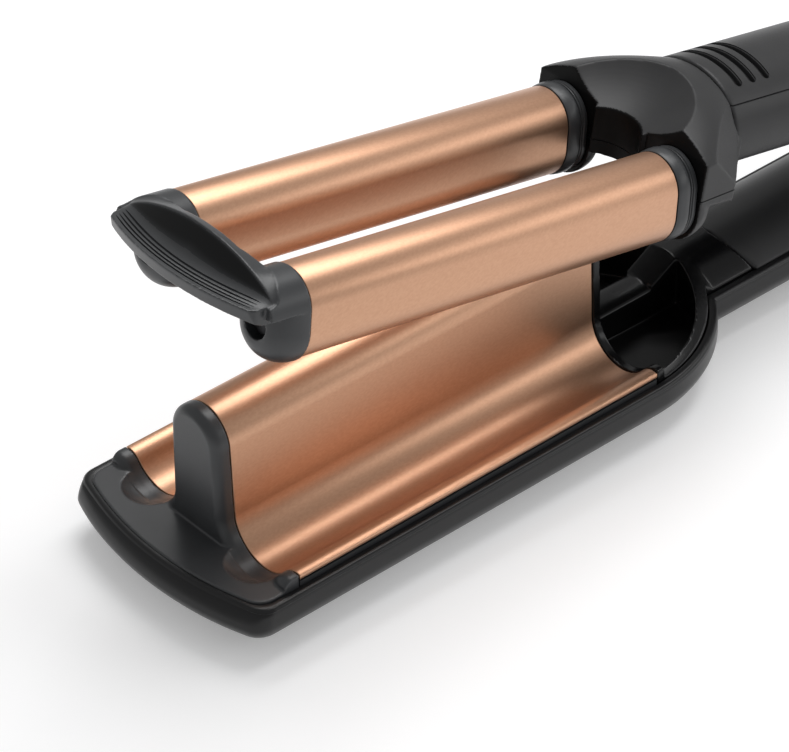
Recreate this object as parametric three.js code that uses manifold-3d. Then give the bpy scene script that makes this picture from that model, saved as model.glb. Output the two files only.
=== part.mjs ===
// Hair waver: two heated barrels on an upper arm close into a heated wave plate on a lower arm.
// Millimetres, +Z up. The barrels run along X, with the tip at -X and the hinge at +X.
// The lower half is laid out in the jaw frame: X = 0 at the front edge of the wave plate, Z = 0 near its lips.
// The upper half has a frame of its own: X = 0 at the front edge of the barrels, Z = 0 just under their crowns.
// The groups at the end join the two at the hinge and move the origin to the middle of the base.

import * as THREE from 'three'
import { mergeVertices } from 'three/addons/utils/BufferGeometryUtils.js'
import Module from 'manifold-3d'

const wasm = await Module()
wasm.setup()

// Clearance between touching pieces
const gap = 0.3

// Heated lengths, and the distance of each barrel and trough from the middle
const plateLength = 112.6
const barrelOverhang = 2.2
const barrelLength = plateLength + barrelOverhang
const trackY = 19.08

// Wave plate: a ridge between two troughs, with a rolled lip outside each
const plateThickness = 1.2
const ridgeRadius = 8.42
const ridgeCentreZ = 23.23
const troughRadius = 10.22
const troughCentreZ = 5.25
const lipRadius = 4.6
const lipStartAngle = -38.2
const lipEndAngle = 73.9
const lipToCasing = 2.6

// Barrel: a crown over a round belly, with a soft crease between them
const hairGap = 1.12
const barrelWall = 1.2
const bellyCentreZ = -9.27
const crownTop = 4.2
const crownHalfWidth = 8.45
const crownRise = 7

// Hinge in the jaw frame, and where the upper half lies when it is closed
const seamBehindPlate = 46.9
const handleLength = 134.7
const seamX = plateLength + seamBehindPlate
const hingeX = seamX + handleLength
const hingeZ = 0.5
const closedShiftX = 2
const openAngle = 11.2

// Lower casing
const casingTip = -19.5
const noseRadius = 100
const noseCorner = 5
const rearCurveSetback = 0.6
const rearCentreX = plateLength - rearCurveSetback
const rearLength = 42
const rearLeanness = 0.05
const lowerArmHalfWidth = 17.2
const tailBehindHinge = 13.8
const tailX = hingeX + tailBehindHinge
const tailRoundness = 0.55
const rimZ = -2.5
const rimLean = 0.2
const bellyLineZ = -7.5
const baseZ = -17
const turnIn = 12.5
const turnDropPower = 1.18
const turnSidePower = 1.26
const casingWall = 2.2

// Bezels at the two ends of the plate
const bezelFloorZ = -2
const bezelThickness = 2.2
const profileProud = 0.1
const tongueThickness = 4.6
const tongueBevel = 2.1
const bowlX = -4
const bowlReach = 8.5
const bowlRadius = 10
const endWall = 2.5
const pocketFloorZ = -9.5
const pocketLength = 34
const pocketRoom = 0.1
const pocketHalfWidth = trackY + troughRadius + pocketRoom
const barInset = 4.26
const barTop = -0.5
const barRamp = 8.6
const barSkin = 2.5
const barHalfWidth = trackY - troughRadius - barInset
const neckTop = 4.5

// Lower handle cover
const seamRadius = 30
const coverTop = 4.2
const coverInset = 2
const coverHalfWidth = lowerArmHalfWidth - coverInset
const coverWall = 2
const coverEndRound = 9

// Heating parts under the plate
const trayWall = 2
const spreaderHalfWidth = 6.5
const spreaderBottomZ = -9.4
const heaterThickness = 2.4
const heaterHalfWidth = 6
const heaterSetback = 25.3
const heaterLength = plateLength - 2 * heaterSetback
const fuseRadius = 2.6
const fuseLength = 14

// Cool tip: two caps and a thumb rest
const tipProud = 0.35
const capLength = 8.4
const capRound = 6.5
const restApexX = -20.3
const restRadius = 73
const restOverhang = 6.42
const restHalfWidth = trackY + restOverhang
const restCorner = 2.8
const restLipDepth = 3.6
const crestX = -10
const crestHeight = 7.8
const crestEndHeight = 0.7
const crestFullness = 0.8
const bridgeMiddleX = -7.6
const bridgeMiddleZ = 7.3
const bridgeCapX = -5.2
const bridgeEndX = -8.8
const bridgeInset = 0.15
const bridgeFlatHalf = 9.5
const bridgeCapY = trackY - 2.08
const webFootZ = -7
const webLean = 1.9
const webThickness = 1.6
const lipRootZ = -4.4
const lipRootAhead = 2.2
const webRootX = -3.5
const webClear = 0.5
const crownFrontX = -12
const tipScrewZ = -8.2
const tipHoleRadius = 3.5

// Collars between barrels and yoke
const collarProud = 0.45
const collarLength = 6.1
const collarStepLength = 1.7
const collarStepDepth = 0.35
const frontSpigot = 2.5
const rearSpigot = 6
const wireRadius = 4

// Yoke
const yokeFrontX = barrelLength + collarLength + 2 * gap
const yokeFrontLean = 0.2
const yokeNoseAhead = 1.5
const yokeNoseX = yokeFrontX - yokeNoseAhead
const yokeNoseY = 8
const yokeFrontTop = 11
const yokeFrontMiddle = -5.5
const yokeSwell = 1.2
const yokeSideWall = 1.02
const yokeSideY = trackY + troughRadius - hairGap + yokeSideWall
const yokeHaunch = 6.3
const yokeFrontHalfWidth = yokeSideY + yokeHaunch
const yokeShoulderX = yokeFrontX + 13.7
const yokeShoulderInset = 1.1
const yokeHeelX = yokeFrontX + 21.5
const yokeHeelY = 21.8
const yokeBackX = yokeFrontX + 25
const yokeBackY = 17.3
const yokeFloorZ = -9.3
const yokePartZ = -5.6
const chamferNormal = [0.488, 0.726, 0.483]
const chamferHeight = 3.8
const chamferBehindFront = 4.5
const chamferInset = 0.7
const yokeUnderDrop = 0.4
const yokeUnderInset = 3.5
const yokeUnderRound = 0.8
const socketProud = 1.1
const socketStraight = 1.5
const socketLength = 7
const socketTaper = 3.5
const dishX = yokeFrontX - 7.1
const dishZ = 6.6
const dishTilt = 12.9
const dishHalfLength = 22
const dishHalfWidth = 19.6
const dishDepth = 6
const dishHeightRadius = 38
const recessRadius = 10.3
const recessX = yokeFrontX + 2.4

// Upper arm
const armStartX = yokeFrontX + 22.8
const armEndX = hingeX - closedShiftX - 11.2
const armHalfWidth = 17
const armTop = 13.1
const armMiddle = -0.4
const armFloor = -9.2
const armFlatHalf = 12
const armWall = 2
const armPartZ = 7.6
const armEndRound = 14
const tenonLength = 10
const tenonHalfWidth = 9.5
const tenonTop = 5
const tenonBottom = -7.2
const railStart = armStartX + 22.2
const railEnd = armEndX - 19
const railY = 10
const railWidth = 3
const railDepth = 1.4
const gripX = armStartX + 6
const gripPitch = 4.8
const gripCount = 3
const gripWidth = 1.9
const gripDepth = 1.5
const gripHalfLength = 10.2

// Hinge parts
const drumRadius = 8
const knuckleHalf = 8
const earHalf = 15.6
const pinRadius = 2.5
const hingeCapRadius = 6
const hingeCapThickness = 1.5
const springRoomHalf = 3.6
const springRoomRadius = 5.4
const springMeanRadius = 3.5
const springWireRadius = 0.55
const springTurns = 3

// Buttons, lights and boards
const buttonTravel = 0.8
const buttonProud = 0.9
const buttonFlange = 1.2
const powerX = armStartX + 89.7
const powerRadius = 5.5
const heatUpX = armStartX + 71.7
const heatDownX = armStartX + 58.7
const heatRadius = 4
const lightX = armStartX + 46.7
const lightPitch = 6.5
const lightCount = 3
const lightRadius = 1.5
const boardThickness = 1.6
const controlBoardZ = 3.4
const controlBoardMargin = 11
const controlBoardStart = lightX - controlBoardMargin
const controlBoardEnd = powerX + controlBoardMargin
const controlBoardHalf = 9
const switchHalf = 3
const coverScrewX = [seamX + 26.5, hingeX - 22.2]
const powerBoardZ = -10
const powerBoardStart = coverScrewX[0] + 18
const powerBoardEnd = coverScrewX[1] - 10
const powerBoardHalf = 10
const relayStart = powerBoardStart + 12
const relayLength = 14
const relayHalf = 6
const relayHeight = 9
const capacitorX = powerBoardEnd - 14
const capacitorRadius = 4
const capacitorHeight = 10
const postRadius = 2.4

// Cord outlet: a neck at the tail with a swivel in it, whose bore takes the cord
const outletZ = -8.6
const neckRadius = 8.2
const neckLength = 9
const neckEndX = tailX + neckLength
const swivelRadius = 5.6
const swivelEndRadius = 4.8
const swivelOutside = 8
const swivelEndX = neckEndX + swivelOutside
const swivelFlangeRadius = 6.4
const swivelFlangeX = tailX - 4
const swivelFlangeLength = 2.4
const swivelBore = 3.2

// Screws
const headRadius = 2.8
const headHeight = 1.9
const shankRadius = 1.3
const bossRadius = 4.6
const plateScrewX = [26, plateLength - 24.6]
const armScrewX = [armStartX + 23.7, armEndX - 19]
const yokeScrewX = yokeFrontX + 10
const yokeScrewY = 17

const toRadians = THREE.MathUtils.degToRad
const toDegrees = THREE.MathUtils.radToDeg

// Solids from three.js geometry, and back
function solid(geometry) {
  const bare = geometry.clone()
  bare.deleteAttribute('normal')
  bare.deleteAttribute('uv')
  const merged = mergeVertices(bare, 1e-4)
  return new wasm.Manifold(new wasm.Mesh({
    numProp: 3,
    vertProperties: new Float32Array(merged.attributes.position.array),
    triVerts: new Uint32Array(merged.index.array),
  }))
}

function geometryOf(body) {
  const mesh = body.getMesh()
  const geometry = new THREE.BufferGeometry()
  geometry.setAttribute('position', new THREE.BufferAttribute(mesh.vertProperties, 3))
  geometry.setIndex(new THREE.BufferAttribute(mesh.triVerts, 1))
  geometry.computeVertexNormals()
  return geometry
}

// An outline pushed along one axis. Its first coordinate runs along u and its second along v.
function pushed(outline, length, u, v, w, start) {
  const shape = new THREE.Shape(outline.map(([a, b]) => new THREE.Vector2(a, b)))
  const geometry = new THREE.ExtrudeGeometry(shape, { depth: length, bevelEnabled: false })
  geometry.applyMatrix4(new THREE.Matrix4().makeBasis(u, v, w).setPosition(start))
  return solid(geometry)
}

const unitX = new THREE.Vector3(1, 0, 0)
const unitY = new THREE.Vector3(0, 1, 0)
const unitZ = new THREE.Vector3(0, 0, 1)

function alongX(outline, x0, x1) {
  return pushed(outline, x1 - x0, unitY, unitZ, unitX, new THREE.Vector3(x0, 0, 0))
}

function alongY(outline, y0, y1) {
  return pushed(outline, y1 - y0, unitX, unitZ, unitY.clone().negate(), new THREE.Vector3(0, y1, 0))
}

function alongZ(outline, z0, z1) {
  return pushed(outline, z1 - z0, unitX, unitY, unitZ, new THREE.Vector3(0, 0, z0))
}

function block(x0, x1, y0, y1, z0, z1) {
  return alongZ([[x0, y0], [x1, y0], [x1, y1], [x0, y1]], z0, z1)
}

function rod(radius, from, to, sides = 16, endRadius = radius) {
  const start = new THREE.Vector3(...from)
  const end = new THREE.Vector3(...to)
  const geometry = new THREE.CylinderGeometry(endRadius, radius, start.distanceTo(end), sides)
  const direction = end.clone().sub(start).normalize()
  geometry.applyQuaternion(new THREE.Quaternion().setFromUnitVectors(unitY, direction))
  geometry.translate(...start.add(end).multiplyScalar(0.5))
  return solid(geometry)
}

function ball(radii, centre, tilt = 0, columns = 24, rows = 12) {
  const geometry = new THREE.SphereGeometry(1, columns, rows)
  geometry.scale(...radii)
  geometry.rotateY(-toRadians(tilt))
  geometry.translate(...centre)
  return solid(geometry)
}

function fused(...bodies) {
  return bodies.reduce((whole, body) => whole.add(body))
}

function cut(body, ...tools) {
  return tools.reduce((rest, tool) => rest.subtract(tool), body)
}

// A flat ring filled with triangles that turn the same way as the ring does
function filled(ring) {
  const spans = [0, 1, 2].map((axis) => {
    const values = ring.map((point) => point[axis])
    return Math.max(...values) - Math.min(...values)
  })
  const level = spans.indexOf(Math.min(...spans))
  const [u, v] = [0, 1, 2].filter((axis) => axis !== level)
  const outline = ring.map((point) => new THREE.Vector2(point[u], point[v]))
  const triangles = THREE.ShapeUtils.triangulateShape(outline, [])
  const areaOf = (corners) => THREE.ShapeUtils.area(corners.map((i) => outline[i]))
  const covered = triangles.reduce((sum, corners) => sum + areaOf(corners), 0)
  const sameWay = covered * THREE.ShapeUtils.area(outline) > 0
  return triangles.map((corners) => (sameWay ? corners : [...corners].reverse()))
}

// A closed skin over rings that have the same number of points
function loft(rings) {
  const count = rings[0].length
  const points = rings.flat()
  const triangles = []
  for (let ring = 0; ring < rings.length - 1; ring++) {
    for (let i = 0; i < count; i++) {
      const a = ring * count + i
      const b = ring * count + (i + 1) % count
      triangles.push(a, b, b + count, a, b + count, a + count)
    }
  }
  const lastRing = (rings.length - 1) * count
  for (const [a, b, c] of filled(rings[0])) {
    triangles.push(c, b, a)
  }
  for (const corners of filled(rings[rings.length - 1])) {
    triangles.push(...corners.map((i) => lastRing + i))
  }
  const geometry = new THREE.BufferGeometry()
  geometry.setAttribute('position', new THREE.Float32BufferAttribute(points.flat(), 3))
  geometry.setIndex(signedVolume(points, triangles) < 0 ? triangles.reverse() : triangles)
  return solid(geometry)
}

function signedVolume(points, triangles) {
  let volume = 0
  for (let i = 0; i < triangles.length; i += 3) {
    const [a, b, c] = triangles.slice(i, i + 3).map((corner) => new THREE.Vector3(...points[corner]))
    volume += a.dot(b.cross(c)) / 6
  }
  return volume
}

function between(from, to, share) {
  return from + (to - from) * share
}

function steps(count) {
  return Array.from({ length: count + 1 }, (_, i) => i / count)
}

// Points on an arc, angles in degrees
function arc(centre, radiusU, radiusV, from, to, count) {
  return steps(count).map((share) => {
    const angle = toRadians(between(from, to, share))
    return [centre[0] + radiusU * Math.cos(angle), centre[1] + radiusV * Math.sin(angle)]
  })
}

// A half outline in (y, z) or (x, y) joined to its mirror image
function bothSides(half, axis = 0) {
  const onMiddle = (point) => Math.abs(point[axis]) < 1e-9
  const flipped = half.filter((point) => !onMiddle(point)).map((point) => {
    const copy = [...point]
    copy[axis] = -copy[axis]
    return copy
  })
  return [...half, ...flipped.reverse()]
}

function onTrack(side, section) {
  return section.map(([y, z]) => [y + side * trackY, z])
}

function atX(x, section) {
  return section.map(([y, z]) => [x, y, z])
}

// Space on the far side of a plane through a point
function beyond(point, normal) {
  const reach = 1200
  const geometry = new THREE.BoxGeometry(reach, reach, reach)
  geometry.translate(0, reach / 2, 0)
  const direction = new THREE.Vector3(...normal).normalize()
  geometry.applyQuaternion(new THREE.Quaternion().setFromUnitVectors(unitY, direction))
  geometry.translate(...point)
  return solid(geometry)
}

// Screws along Z with the head at the bottom, and the stepped bore that takes one
function screw(x, y, bottomZ, tipZ) {
  const headTop = bottomZ + headHeight
  return fused(
    rod(headRadius, [x, y, bottomZ], [x, y, headTop], 12),
    rod(shankRadius, [x, y, headTop - headHeight / 2], [x, y, tipZ], 8))
}

function screwBore(x, y, bottomZ, tipZ) {
  const headTop = bottomZ + headHeight + gap
  return fused(
    rod(headRadius + gap, [x, y, bottomZ - 2 * headHeight], [x, y, headTop], 12),
    rod(shankRadius + gap, [x, y, bottomZ], [x, y, tipZ + gap], 8))
}

// Wave plate profile, sunk below its upper face by a depth: half of it runs from the ridge out to the lip
const trackDrop = troughCentreZ - ridgeCentreZ
const flankAngle = toDegrees(
  Math.atan2(trackDrop, trackY) + Math.acos((ridgeRadius + troughRadius) / Math.hypot(trackY, trackDrop)))
const lipReach = troughRadius + lipRadius
const lipCentre = [
  trackY + lipReach * Math.cos(toRadians(lipStartAngle)),
  troughCentreZ + lipReach * Math.sin(toRadians(lipStartAngle)),
]

const lipEdgeY = lipCentre[0] + lipRadius * Math.cos(toRadians(lipEndAngle))
const casingHalfWidth = lipEdgeY + lipToCasing

function plateHalf(depth) {
  const ridge = ridgeRadius - depth
  const trough = troughRadius + depth
  const lip = lipRadius - depth
  const edgeAngle = toDegrees(Math.acos((lipEdgeY - lipCentre[0]) / lip))
  return [
    ...arc([0, ridgeCentreZ], ridge, ridge, 90, flankAngle, 6),
    ...arc([trackY, troughCentreZ], trough, trough, 180 + flankAngle, 360 + lipStartAngle, 12),
    ...arc(lipCentre, lip, lip, 180 + lipStartAngle, edgeAngle, 4).slice(1),
  ]
}

function plateLine(depth) {
  const half = plateHalf(depth)
  return [...half.slice(1).map(([y, z]) => [-y, z]).reverse(), ...half]
}

// The plate profile closed off at a level, either below it or above it
function plateAndLevel(depth, level) {
  const line = plateLine(depth)
  const edge = line[line.length - 1][0]
  return [...line, [edge, level], [-edge, level]]
}

// Barrel section about its own track, grown outwards
const bellyRadius = troughRadius - hairGap
const crownRadius = (crownHalfWidth ** 2 + crownRise ** 2) / (2 * crownRise)
const crownCentreZ = crownTop - crownRadius
const crownAngle = toDegrees(Math.asin(crownHalfWidth / crownRadius))
const creaseHeight = crownTop - crownRise - bellyCentreZ
const bellyAngle = toDegrees(
  Math.atan2(creaseHeight, crownHalfWidth) - Math.acos(bellyRadius / Math.hypot(creaseHeight, crownHalfWidth)))

function barrelSection(grown) {
  const crown = crownRadius + grown
  const belly = bellyRadius + grown
  return [
    ...arc([0, crownCentreZ], crown, crown, 90 - crownAngle, 90 + crownAngle, 8),
    ...arc([0, bellyCentreZ], belly, belly, 180 - bellyAngle, 360 + bellyAngle, 12),
  ]
}

// The casing narrows behind the plate along a curve a little leaner than an ellipse
function rearCurve(length, half, endAngle, count) {
  return arc([0, 0], 1, 1, 90, endAngle, count).map(([x, y]) => {
    const lean = 1 - rearLeanness * Math.max(0, x) * y
    return [rearCentreX + length * x * lean, half * y * between(1, lean, x)]
  })
}

// Plan of the casing, drawn in from its widest line
function casingPlan(inset) {
  const half = casingHalfWidth - inset
  const arm = lowerArmHalfWidth - inset
  const nose = noseRadius - inset
  const noseCentreX = casingTip + noseRadius
  const cornerY = half - noseCorner
  const cornerX = noseCentreX - Math.sqrt((nose - noseCorner) ** 2 - cornerY ** 2)
  const cornerAngle = toDegrees(Math.atan2(cornerY, cornerX - noseCentreX))
  const armAngle = toDegrees(Math.asin(arm / half))
  const tailCorner = arm * tailRoundness
  return bothSides([
    ...arc([noseCentreX, 0], nose, nose, 180, cornerAngle, 5).map(([x, y]) => [x, Math.abs(y) < 1e-9 ? 0 : y]),
    ...arc([cornerX, cornerY], noseCorner, noseCorner, cornerAngle, 90, 3).slice(1),
    ...rearCurve(rearLength - inset, half, armAngle, 7),
    ...arc([tailX - inset - tailCorner, arm - tailCorner], tailCorner, tailCorner, 90, 0, 3),
  ], 1)
}

function planAt(z, inset) {
  return casingPlan(inset).map(([x, y]) => [x, y, z])
}

// Rings from the widest line down to a level, turning in as they go
function turnUnder(count, inset, bottomZ) {
  return steps(count).map((share) => {
    const angle = share * Math.PI / 2
    const drop = Math.sin(angle) ** turnDropPower
    const side = 1 - Math.max(0, Math.cos(angle)) ** turnSidePower
    return planAt(bellyLineZ + (bottomZ - bellyLineZ) * drop, inset + turnIn * side)
  })
}

// The hull: upright near the rim, then turning in under the widest line to a flat keel
function hull() {
  return loft([planAt(rimZ, rimLean), ...turnUnder(5, 0, baseZ)])
}

// The room inside the hull, drawn in further for what has to fit inside it
function hullRoom(clearance) {
  const wall = casingWall + clearance
  const floorZ = baseZ + wall
  const above = ridgeCentreZ + ridgeRadius + 20
  return loft([planAt(above, wall + rimLean), planAt(rimZ, wall + rimLean), ...turnUnder(4, wall, floorZ)])
}

const floorTopZ = baseZ + casingWall
const bossTopZ = floorTopZ + headHeight + 0.6
const trayFloorZ = floorTopZ + gap

function lowerCasing() {
  const screwXs = [...plateScrewX, ...coverScrewX]
  const bosses = screwXs.map((x) => rod(bossRadius, [x, 0, baseZ + casingWall / 2], [x, 0, bossTopZ]))
  const bores = screwXs.map((x) => screwBore(x, 0, baseZ + gap, bossTopZ + gap))
  const posts = [powerBoardStart + postRadius + 1, powerBoardEnd - postRadius - 1].map((x) =>
    rod(postRadius, [x, 0, baseZ + casingWall / 2], [x, 0, powerBoardZ - gap], 8))
  const neck = rod(neckRadius, [tailX - casingWall - 3, 0, outletZ], [neckEndX, 0, outletZ], 24)
  const shell = cut(hull(), hullRoom(0))
  return cut(
    fused(shell, neck, ...bosses, ...posts),
    ...bores,
    rod(swivelRadius + gap, [swivelFlangeX, 0, outletZ], [neckEndX + 1, 0, outletZ], 20),
    rod(swivelFlangeRadius + gap, [tailX - casingWall - 20, 0, outletZ],
      [swivelFlangeX + swivelFlangeLength + gap, 0, outletZ], 20),
    rod(drumRadius + gap, [hingeX, -casingHalfWidth, hingeZ], [hingeX, casingHalfWidth, hingeZ], 32))
}

// Front bezel: a floor, a rib that repeats the plate's section, and a bowl in front of each trough
function frontBezel() {
  const troughFloorZ = troughCentreZ - troughRadius - bezelThickness
  const ribSection = (x, depth) => atX(x, plateAndLevel(depth, troughFloorZ + 0.3))
  const rib = loft([
    ribSection(-gap, -profileProud),
    ribSection(-tongueThickness + tongueBevel, -profileProud),
    ribSection(-tongueThickness + tongueBevel / 3, tongueBevel / 4),
    ribSection(-tongueThickness, tongueBevel * 0.7),
  ])
  const floor = block(casingTip, -gap, -casingHalfWidth, casingHalfWidth,
    bezelFloorZ - bezelThickness, bezelFloorZ)
  const underBowls = block(casingTip / 2, -gap, -trackY - troughRadius, trackY + troughRadius,
    troughFloorZ, bezelFloorZ - bezelThickness / 2)
  const bowls = [-1, 1].map((side) => ball(
    [bowlReach, bowlRadius, bowlRadius], [bowlX, side * trackY, troughCentreZ]))
  const aboveFloor = plateAndLevel(0, ridgeCentreZ + 30)
  const trackCut = alongX(aboveFloor, bowlX - 1, 1)
  return cut(fused(floor, underBowls), trackCut).add(rib).subtract(fused(...bowls)).intersect(hullRoom(gap))
}

// Rear bezel: an end wall in the plate's section, two pockets for the collars and the neck behind them
const endWallX = plateLength + gap
const pocketX = endWallX + endWall

function neckSection(x) {
  const onRear = Math.min(1, Math.max(0, (x - rearCentreX) / rearLength))
  const plan = casingHalfWidth * Math.sqrt(1 - onRear ** 2)
  const half = Math.max(plan, lowerArmHalfWidth) - casingWall - rimLean
  const rise = neckTop - rimZ
  const radius = (half ** 2 + rise ** 2) / (2 * rise)
  const spread = toDegrees(Math.asin(Math.min(1, half / radius)))
  const bottomZ = pocketFloorZ - bezelThickness
  const top = arc([0, neckTop - radius], radius, radius, 90 - spread, 90 + spread, 10)
  return [[half, bottomZ], ...top, [-half, bottomZ]]
}

function rearBezel() {
  const blockEndX = seamX + 8
  const body = loft(steps(7).map((share) => {
    const x = between(endWallX, blockEndX, share)
    return atX(x, neckSection(x))
  }))
  const wall = alongX(plateAndLevel(-profileProud, pocketFloorZ - bezelThickness), endWallX, pocketX)
  const pocketStart = toDegrees(Math.asin(barHalfWidth / pocketHalfWidth))
  const pocketPlan = [
    [pocketX, barHalfWidth],
    ...arc([rearCentreX, 0], pocketLength, pocketHalfWidth, pocketStart, 90, 8).filter(([x]) => x > pocketX),
    [pocketX, pocketHalfWidth - profileProud],
  ]
  const pocket = (side) => alongZ(pocketPlan.map(([x, y]) => [x, side * y]), pocketFloorZ, neckTop + 5)
  const aboveWall = alongX(plateAndLevel(-profileProud, ridgeCentreZ + 30), endWallX - 1, pocketX)
  const barEndX = rearCentreX + pocketLength * Math.sqrt(1 - (barHalfWidth / pocketHalfWidth) ** 2)
  const overBar = alongY([
    [pocketX, barTop],
    [barEndX - barRamp, barTop],
    [barEndX, neckTop - 0.1],
    [barEndX, neckTop + 5],
    [pocketX, neckTop + 5],
  ], -barHalfWidth - 0.1, barHalfWidth + 0.1)
  const seam = rod(seamRadius + gap, [seamX + seamRadius, 0, -50], [seamX + seamRadius, 0, 50], 64)
  const roomHalf = barHalfWidth - barSkin
  const room = block(pocketX + 4, blockEndX + 1, -roomHalf, roomHalf, -30, barTop - barSkin)
  const hollowed = cut(body, aboveWall, pocket(-1), pocket(1), overBar)
  return cut(fused(hollowed, wall), seam, room).intersect(hullRoom(gap))
}

// The plate itself, and what heats it
function wavePlate() {
  return alongX([...plateLine(0), ...plateLine(plateThickness).reverse()], 0, plateLength)
}

const underPlate = plateThickness + gap

function plateTray() {
  const boxed = cut(
    block(0, plateLength, -casingHalfWidth, casingHalfWidth, trayFloorZ, lipCentre[1] + lipRadius),
    hullRoom(gap + trayWall),
    ...[-1, 1].map((side) => block(heaterStart - gap, heaterStart + heaterLength + gap,
      side * trackY - heaterHalfWidth - gap, side * trackY + heaterHalfWidth + gap,
      heaterBottomZ - gap, troughCentreZ)))
  const bossLow = plateScrewX.map((x) =>
    rod(bossRadius + gap + 2, [x, 0, trayFloorZ], [x, 0, bossTopZ + 3], 24))
  const bossHigh = plateScrewX.map((x) =>
    rod(bossRadius - 0.6, [x, 0, bossTopZ + 1], [x, 0, bezelFloorZ], 20))
  const pads = [-1, 1].map((side) => block(
    plateLength / 2 - heaterLength / 2 + 4, plateLength / 2 + heaterLength / 2 - 4,
    side * trackY - 2, side * trackY + 2, trayFloorZ, heaterBottomZ - gap))
  const seats = plateScrewX.map((x) =>
    rod(bossRadius + gap, [x, 0, trayFloorZ - 1], [x, 0, bossTopZ + gap], 24))
  const bores = plateScrewX.map((x) => rod(shankRadius + gap, [x, 0, baseZ], [x, 0, bezelFloorZ - 2], 12))
  const overPlate = alongX(plateAndLevel(underPlate, ridgeCentreZ + 30), -1, plateLength + 1)
  const outside = [-1, 1].map((side) => {
    const ys = [side * (lipEdgeY - 1.2), side * (lipEdgeY + 9)].sort((a, b) => a - b)
    return block(-1, plateLength + 1, ys[0], ys[1], rimZ + 1.2, 40)
  })
  return cut(fused(boxed, ...bossLow, ...bossHigh, ...pads), overPlate, ...outside, ...seats, ...bores)
    .intersect(hullRoom(gap))
}

const heaterTopZ = spreaderBottomZ - gap
const heaterBottomZ = heaterTopZ - heaterThickness
const heaterStart = (plateLength - heaterLength) / 2

function plateSpreader(side) {
  const low = side * trackY - spreaderHalfWidth
  const high = side * trackY + spreaderHalfWidth
  const bar = block(6, plateLength - 6, low, high, spreaderBottomZ, troughCentreZ)
  const track = underPlate + troughRadius
  const y = side * trackY
  return cut(bar, rod(track, [0, y, troughCentreZ], [plateLength, y, troughCentreZ], 36))
}

function plateHeater(side) {
  return block(heaterStart, heaterStart + heaterLength,
    side * trackY - heaterHalfWidth, side * trackY + heaterHalfWidth, heaterBottomZ, heaterTopZ)
}

function thermalFuse() {
  const z = ridgeCentreZ + ridgeRadius - underPlate - fuseRadius
  const middle = plateLength / 2
  return rod(fuseRadius, [middle - fuseLength / 2, 0, z], [middle + fuseLength / 2, 0, z], 16)
}

// Lower handle cover, with the two outer drums of the hinge
function coverSection(x, drawnIn, dropped) {
  const half = coverHalfWidth - drawnIn
  const top = coverTop - drawnIn
  const footZ = rimZ + gap - dropped
  const rise = top - (rimZ + gap)
  const radius = (half ** 2 + rise ** 2) / (2 * rise)
  const spread = toDegrees(Math.asin(half / radius))
  const endX = tailX - drawnIn
  const past = Math.min(1, Math.max(0, (x - (endX - coverEndRound)) / (coverEndRound * 1.04)))
  const share = Math.sqrt(1 - past ** 2)
  const arch = arc([0, top - radius], radius, radius, 90 - spread, 90 + spread, 10)
    .map(([y, z]) => [y * between(0.8, 1, share), footZ + dropped + (z - footZ - dropped) * share])
  const foot = half * between(0.8, 1, share)
  return atX(x, [[foot, footZ], ...arch, [-foot, footZ]])
}

function coverLoft(drawnIn, startX, dropped) {
  const endX = tailX - drawnIn
  const turn = steps(4).map((share) => endX - coverEndRound + coverEndRound * Math.sin(share * Math.PI / 2))
  const xs = [startX, ...turn]
  return loft(xs.map((x) => coverSection(x, drawnIn, dropped)))
}

function lowerHandleCover() {
  const startX = seamX - 2
  const roomX = seamX + coverHalfWidth ** 2 / (2 * seamRadius) + coverWall + 2
  const shell = cut(coverLoft(0, startX, 0), coverLoft(coverWall, roomX, 5))
  const bosses = coverScrewX.map((x) =>
    rod(bossRadius - 0.8, [x, 0, bossTopZ + gap], [x, 0, coverTop - coverWall / 2], 12))
  const bores = coverScrewX.map((x) => rod(shankRadius + gap, [x, 0, baseZ], [x, 0, rimZ + 3], 8))
  const ear = (side) =>
    rod(drumRadius, [hingeX, side * (knuckleHalf + gap), hingeZ], [hingeX, side * earHalf, hingeZ], 32)
  const capRecess = (side) => rod(hingeCapRadius + gap,
    [hingeX, side * (earHalf - hingeCapThickness), hingeZ], [hingeX, side * (earHalf + 1), hingeZ], 24)
  const knuckleSlot = block(hingeX - drumRadius - 3, hingeX + drumRadius + gap + 0.5,
    -knuckleHalf - gap, knuckleHalf + gap, -20, 20)
  const behindSeam = rod(seamRadius, [seamX + seamRadius, 0, -50], [seamX + seamRadius, 0, 50], 64)
    .add(block(seamX + seamRadius, neckEndX, -50, 50, -50, 50))
  return cut(
    fused(shell.intersect(behindSeam), ear(-1), ear(1), ...bosses),
    knuckleSlot, capRecess(-1), capRecess(1), ...bores,
    rod(pinRadius + gap, [hingeX, -earHalf - 1, hingeZ], [hingeX, earHalf + 1, hingeZ], 16),
    rod(neckRadius + gap, [swivelFlangeX, 0, outletZ], [neckEndX + 1, 0, outletZ], 32))
}

function powerBoard() {
  const relay = block(relayStart, relayStart + relayLength, -relayHalf, relayHalf,
    powerBoardZ, powerBoardZ + relayHeight)
  const capacitor = rod(capacitorRadius,
    [capacitorX, 0, powerBoardZ], [capacitorX, 0, powerBoardZ + capacitorHeight], 16)
  const plate = block(powerBoardStart, powerBoardEnd, -powerBoardHalf, powerBoardHalf,
    powerBoardZ, powerBoardZ + boardThickness)
  return fused(plate, relay, capacitor)
}

function hingePin() {
  const half = earHalf - hingeCapThickness - gap
  return rod(pinRadius, [hingeX, -half, hingeZ], [hingeX, half, hingeZ], 16)
}

function hingeCap(side) {
  const inner = earHalf - hingeCapThickness + gap / 2
  return rod(hingeCapRadius, [hingeX, side * inner, hingeZ], [hingeX, side * (earHalf + gap), hingeZ], 24)
}

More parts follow.
